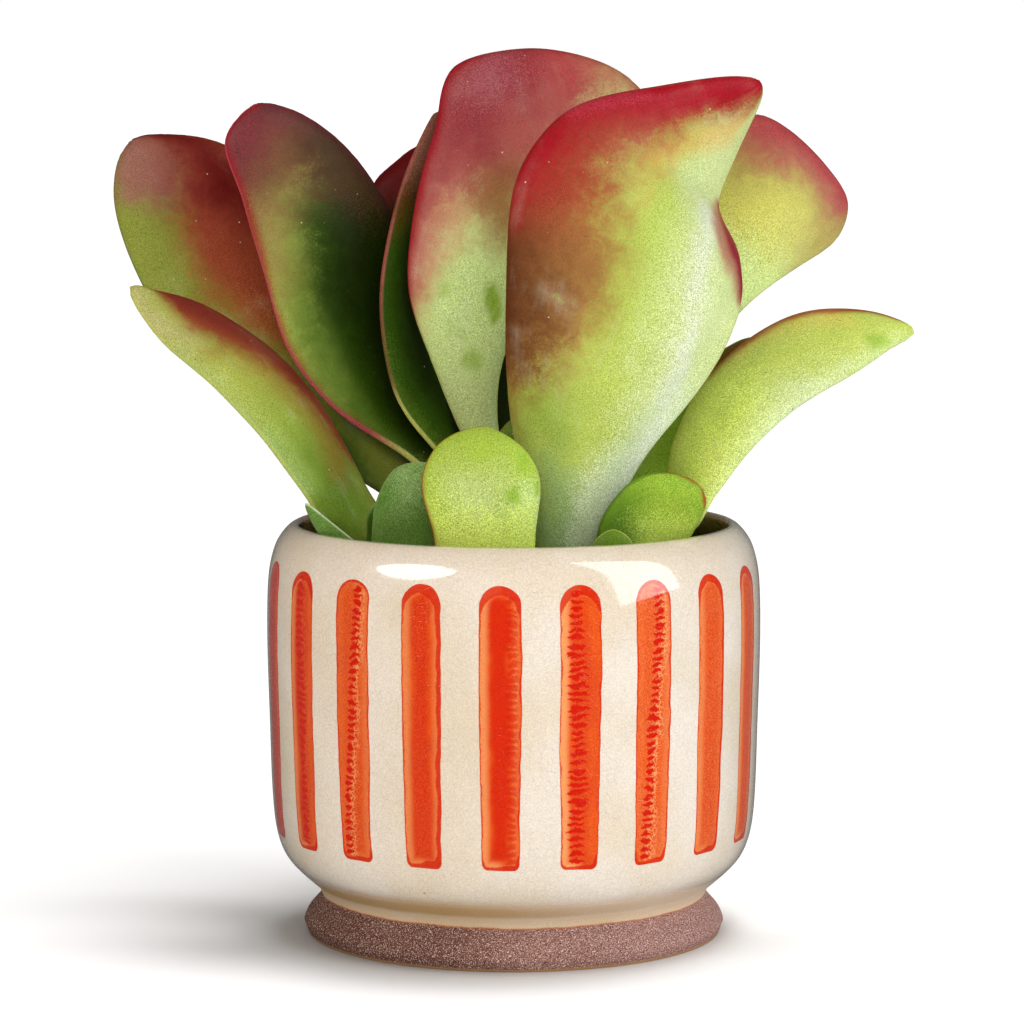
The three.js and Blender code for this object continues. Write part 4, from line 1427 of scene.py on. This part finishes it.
def scatterCrumbs(soil, material):
    # a Geometry Nodes tree that strews crumbs over the potting mix's top
    crumbs = bpy.data.collections.new("crumbs")
    for index in range(soilShape["crumbKinds"]):
        crumbs.objects.link(makeCrumb(index, material))
    tree = bpy.data.node_groups.new("strewCrumbs", "GeometryNodeTree")
    tree.interface.new_socket("Geometry", in_out="INPUT", socket_type="NodeSocketGeometry")
    wanted = {"Density": "Float", "Size": "Float", "Seed": "Int", "Height": "Float"}
    sockets = {}
    for label, kind in wanted.items():
        socket = tree.interface.new_socket(label, in_out="INPUT", socket_type="NodeSocket" + kind)
        sockets[label] = socket.identifier
    tree.interface.new_socket("Geometry", in_out="OUTPUT", socket_type="NodeSocketGeometry")
    given = tree.nodes.new("NodeGroupInput").outputs
    height = splitPlace(tree, addNode(tree, "GeometryNodeInputPosition").outputs[0])[2]
    isTop = calc(tree, "GREATER_THAN", height, given["Height"])
    strewn = addNode(tree, "GeometryNodeDistributePointsOnFaces", {
        "Mesh": given["Geometry"], "Selection": isTop, "Density": given["Density"], "Seed": given["Seed"]})
    source = addNode(tree, "GeometryNodeCollectionInfo", {
        "Collection": crumbs, "Separate Children": True, "Reset Children": True})
    turn = addNode(tree, "FunctionNodeRandomValue", {
        0: (0, 0, 0), 1: (0.7, 0.7, 6.28), "Seed": given["Seed"]}, data_type="FLOAT_VECTOR")
    size = addNode(tree, "FunctionNodeRandomValue", {
        2: 0.25, 3: 1.0, "Seed": given["Seed"]}, data_type="FLOAT")
    scaled = times(tree, size.outputs[1], given["Size"])
    placed = addNode(tree, "GeometryNodeInstanceOnPoints", {
        "Points": strewn.outputs["Points"], "Instance": source.outputs[0], "Pick Instance": True,
        "Rotation": turn.outputs[0], "Scale": scaled})
    whole = addNode(tree, "GeometryNodeRealizeInstances", {0: placed.outputs[0]}).outputs[0]
    finished = addNode(tree, "GeometryNodeSetMaterial", {"Geometry": whole, "Material": material}).outputs[0]
    tree.links.new(finished, tree.nodes.new("NodeGroupOutput").inputs[0])

    holder = bpy.data.objects.new("crumbHolder", soil.data)
    scene.collection.objects.link(holder)
    modifier = holder.modifiers.new("strewCrumbs", "NODES")
    modifier.node_group = tree
    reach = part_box("soil")[1]
    modifier[sockets["Density"]] = soilShape["crumbs"] / (math.pi * reach.x ** 2)
    modifier[sockets["Size"]] = soilShape["crumbSize"] / 2
    modifier[sockets["Seed"]] = soilShape["seed"]
    modifier[sockets["Height"]] = reach.z - 5 * mm
    bpy.context.view_layer.update()
    graph = bpy.context.evaluated_depsgraph_get()
    mesh = bpy.data.meshes.new_from_object(holder.evaluated_get(graph))
    bpy.data.objects.remove(holder)
    piece = bpy.data.objects.new("soilCrumbs", mesh)
    scene.collection.objects.link(piece)
    handOver(piece, [])
    print("crumbs:", len(mesh.polygons), "faces")


soilColors = {"peat": ("1C120C", "4A3424"), "barkCrumbs": ("2A1A10", "6E4E34")}


def soilMaterial(name):
    material, tree, shader = newMaterial(name, Roughness=0.95, Specular_IOR_Level=0.2)
    place = placeInMm(tree)
    grain = noiseValue(tree, place, 1.2, 4, 0.7)
    patches = noiseValue(tree, place, 7, 2, 0.5)
    lighter = ramp(tree, shift(tree, patches, 0.6, 0.5, grain), 0.4, 0.75)
    color = mixColor(tree, lighter, *hexColors(soilColors[name]))
    tree.links.new(color, shader.inputs["Base Color"])
    addBump(tree, shader, grain, 0.5)
    return material


stemShape = {
    "sides": 72,
    "rows": 60,
    "ringEvery": 5.5 * mm,
    "ringHeight": 0.35 * mm,
    "ringTilt": 0.6 * mm,
    "lumps": 0.15 * mm,
    "young": ("6E8A34", "9AAA56"),
    "old": ("6A5A38", "A08C60"),
    "oldUpTo": (118, 100),     # mm, where the young skin turns to old
}


def stemSkin():
    material, tree, shader = newMaterial("stemSkin", Roughness=0.6)
    place = placeInMm(tree)
    streaks = noiseValue(tree, place, 2.5, 4, 0.6)
    young = mixColor(tree, streaks, *hexColors(stemShape["young"]))
    old = mixColor(tree, streaks, *hexColors(stemShape["old"]))
    height = shift(tree, streaks, 12, 0.5, splitPlace(tree, place)[2])
    color = mixColor(tree, ramp(tree, height, *stemShape["oldUpTo"]), young, old)
    tree.links.new(color, shader.inputs["Base Color"])
    addBump(tree, shader, streaks, 0.4)
    return material


def makeStem():
    low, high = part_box("stem")
    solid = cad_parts["stem"].data
    # the stem's radius at each height where the CAD solid has points on +X
    found = {round(v.co.z, 6): v.co.x for v in solid.vertices if abs(v.co.y) < 1e-6 and v.co.x > 1e-6}
    heights = sorted(found)
    radii = [found[z] for z in heights]
    sides, rows = stemShape["sides"], stemShape["rows"]
    points = []
    levels = np.linspace(low.z, high.z - 0.3 * mm, rows)
    for z in levels:
        radius = float(np.interp(z, heights, radii))
        if z > heights[-1]:
            radius *= math.sqrt(max(0.05, 1 - ((z - heights[-1]) / (high.z - heights[-1])) ** 2))
        for i in range(sides):
            angle = 2 * math.pi * i / sides
            tilt = stemShape["ringTilt"] * math.sin(2 * angle + z / stemShape["ringEvery"])
            ring = abs(math.sin(math.pi * (z + tilt) / stemShape["ringEvery"]))
            scar = -stemShape["ringHeight"] * (1 - ring) ** 4
            wave = solidNoise.noise(Vector((math.cos(angle), math.sin(angle), z * 200)))
            reach = radius + scar + stemShape["lumps"] * wave - stemShape["lumps"]
            points.append(circlePoint(reach, z, i, sides))
    points += [(0, 0, low.z), (0, 0, high.z)]
    faces = ringFaces(rows, sides)
    last = (rows - 1) * sides
    for i in range(sides):
        j = (i + 1) % sides
        faces += [(len(points) - 2, j, i), (last + i, last + j, len(points) - 1)]
    makePiece("leafyStem", points, faces, stemSkin(), ["stem"])
    print("stem:", len(faces), "faces")


makeCamera()
makeStudio()
makePot()
soil = makeSoil(soilMaterial("peat"))
scatterCrumbs(soil, soilMaterial("barkCrumbs"))
makeStem()
makeLeaves()
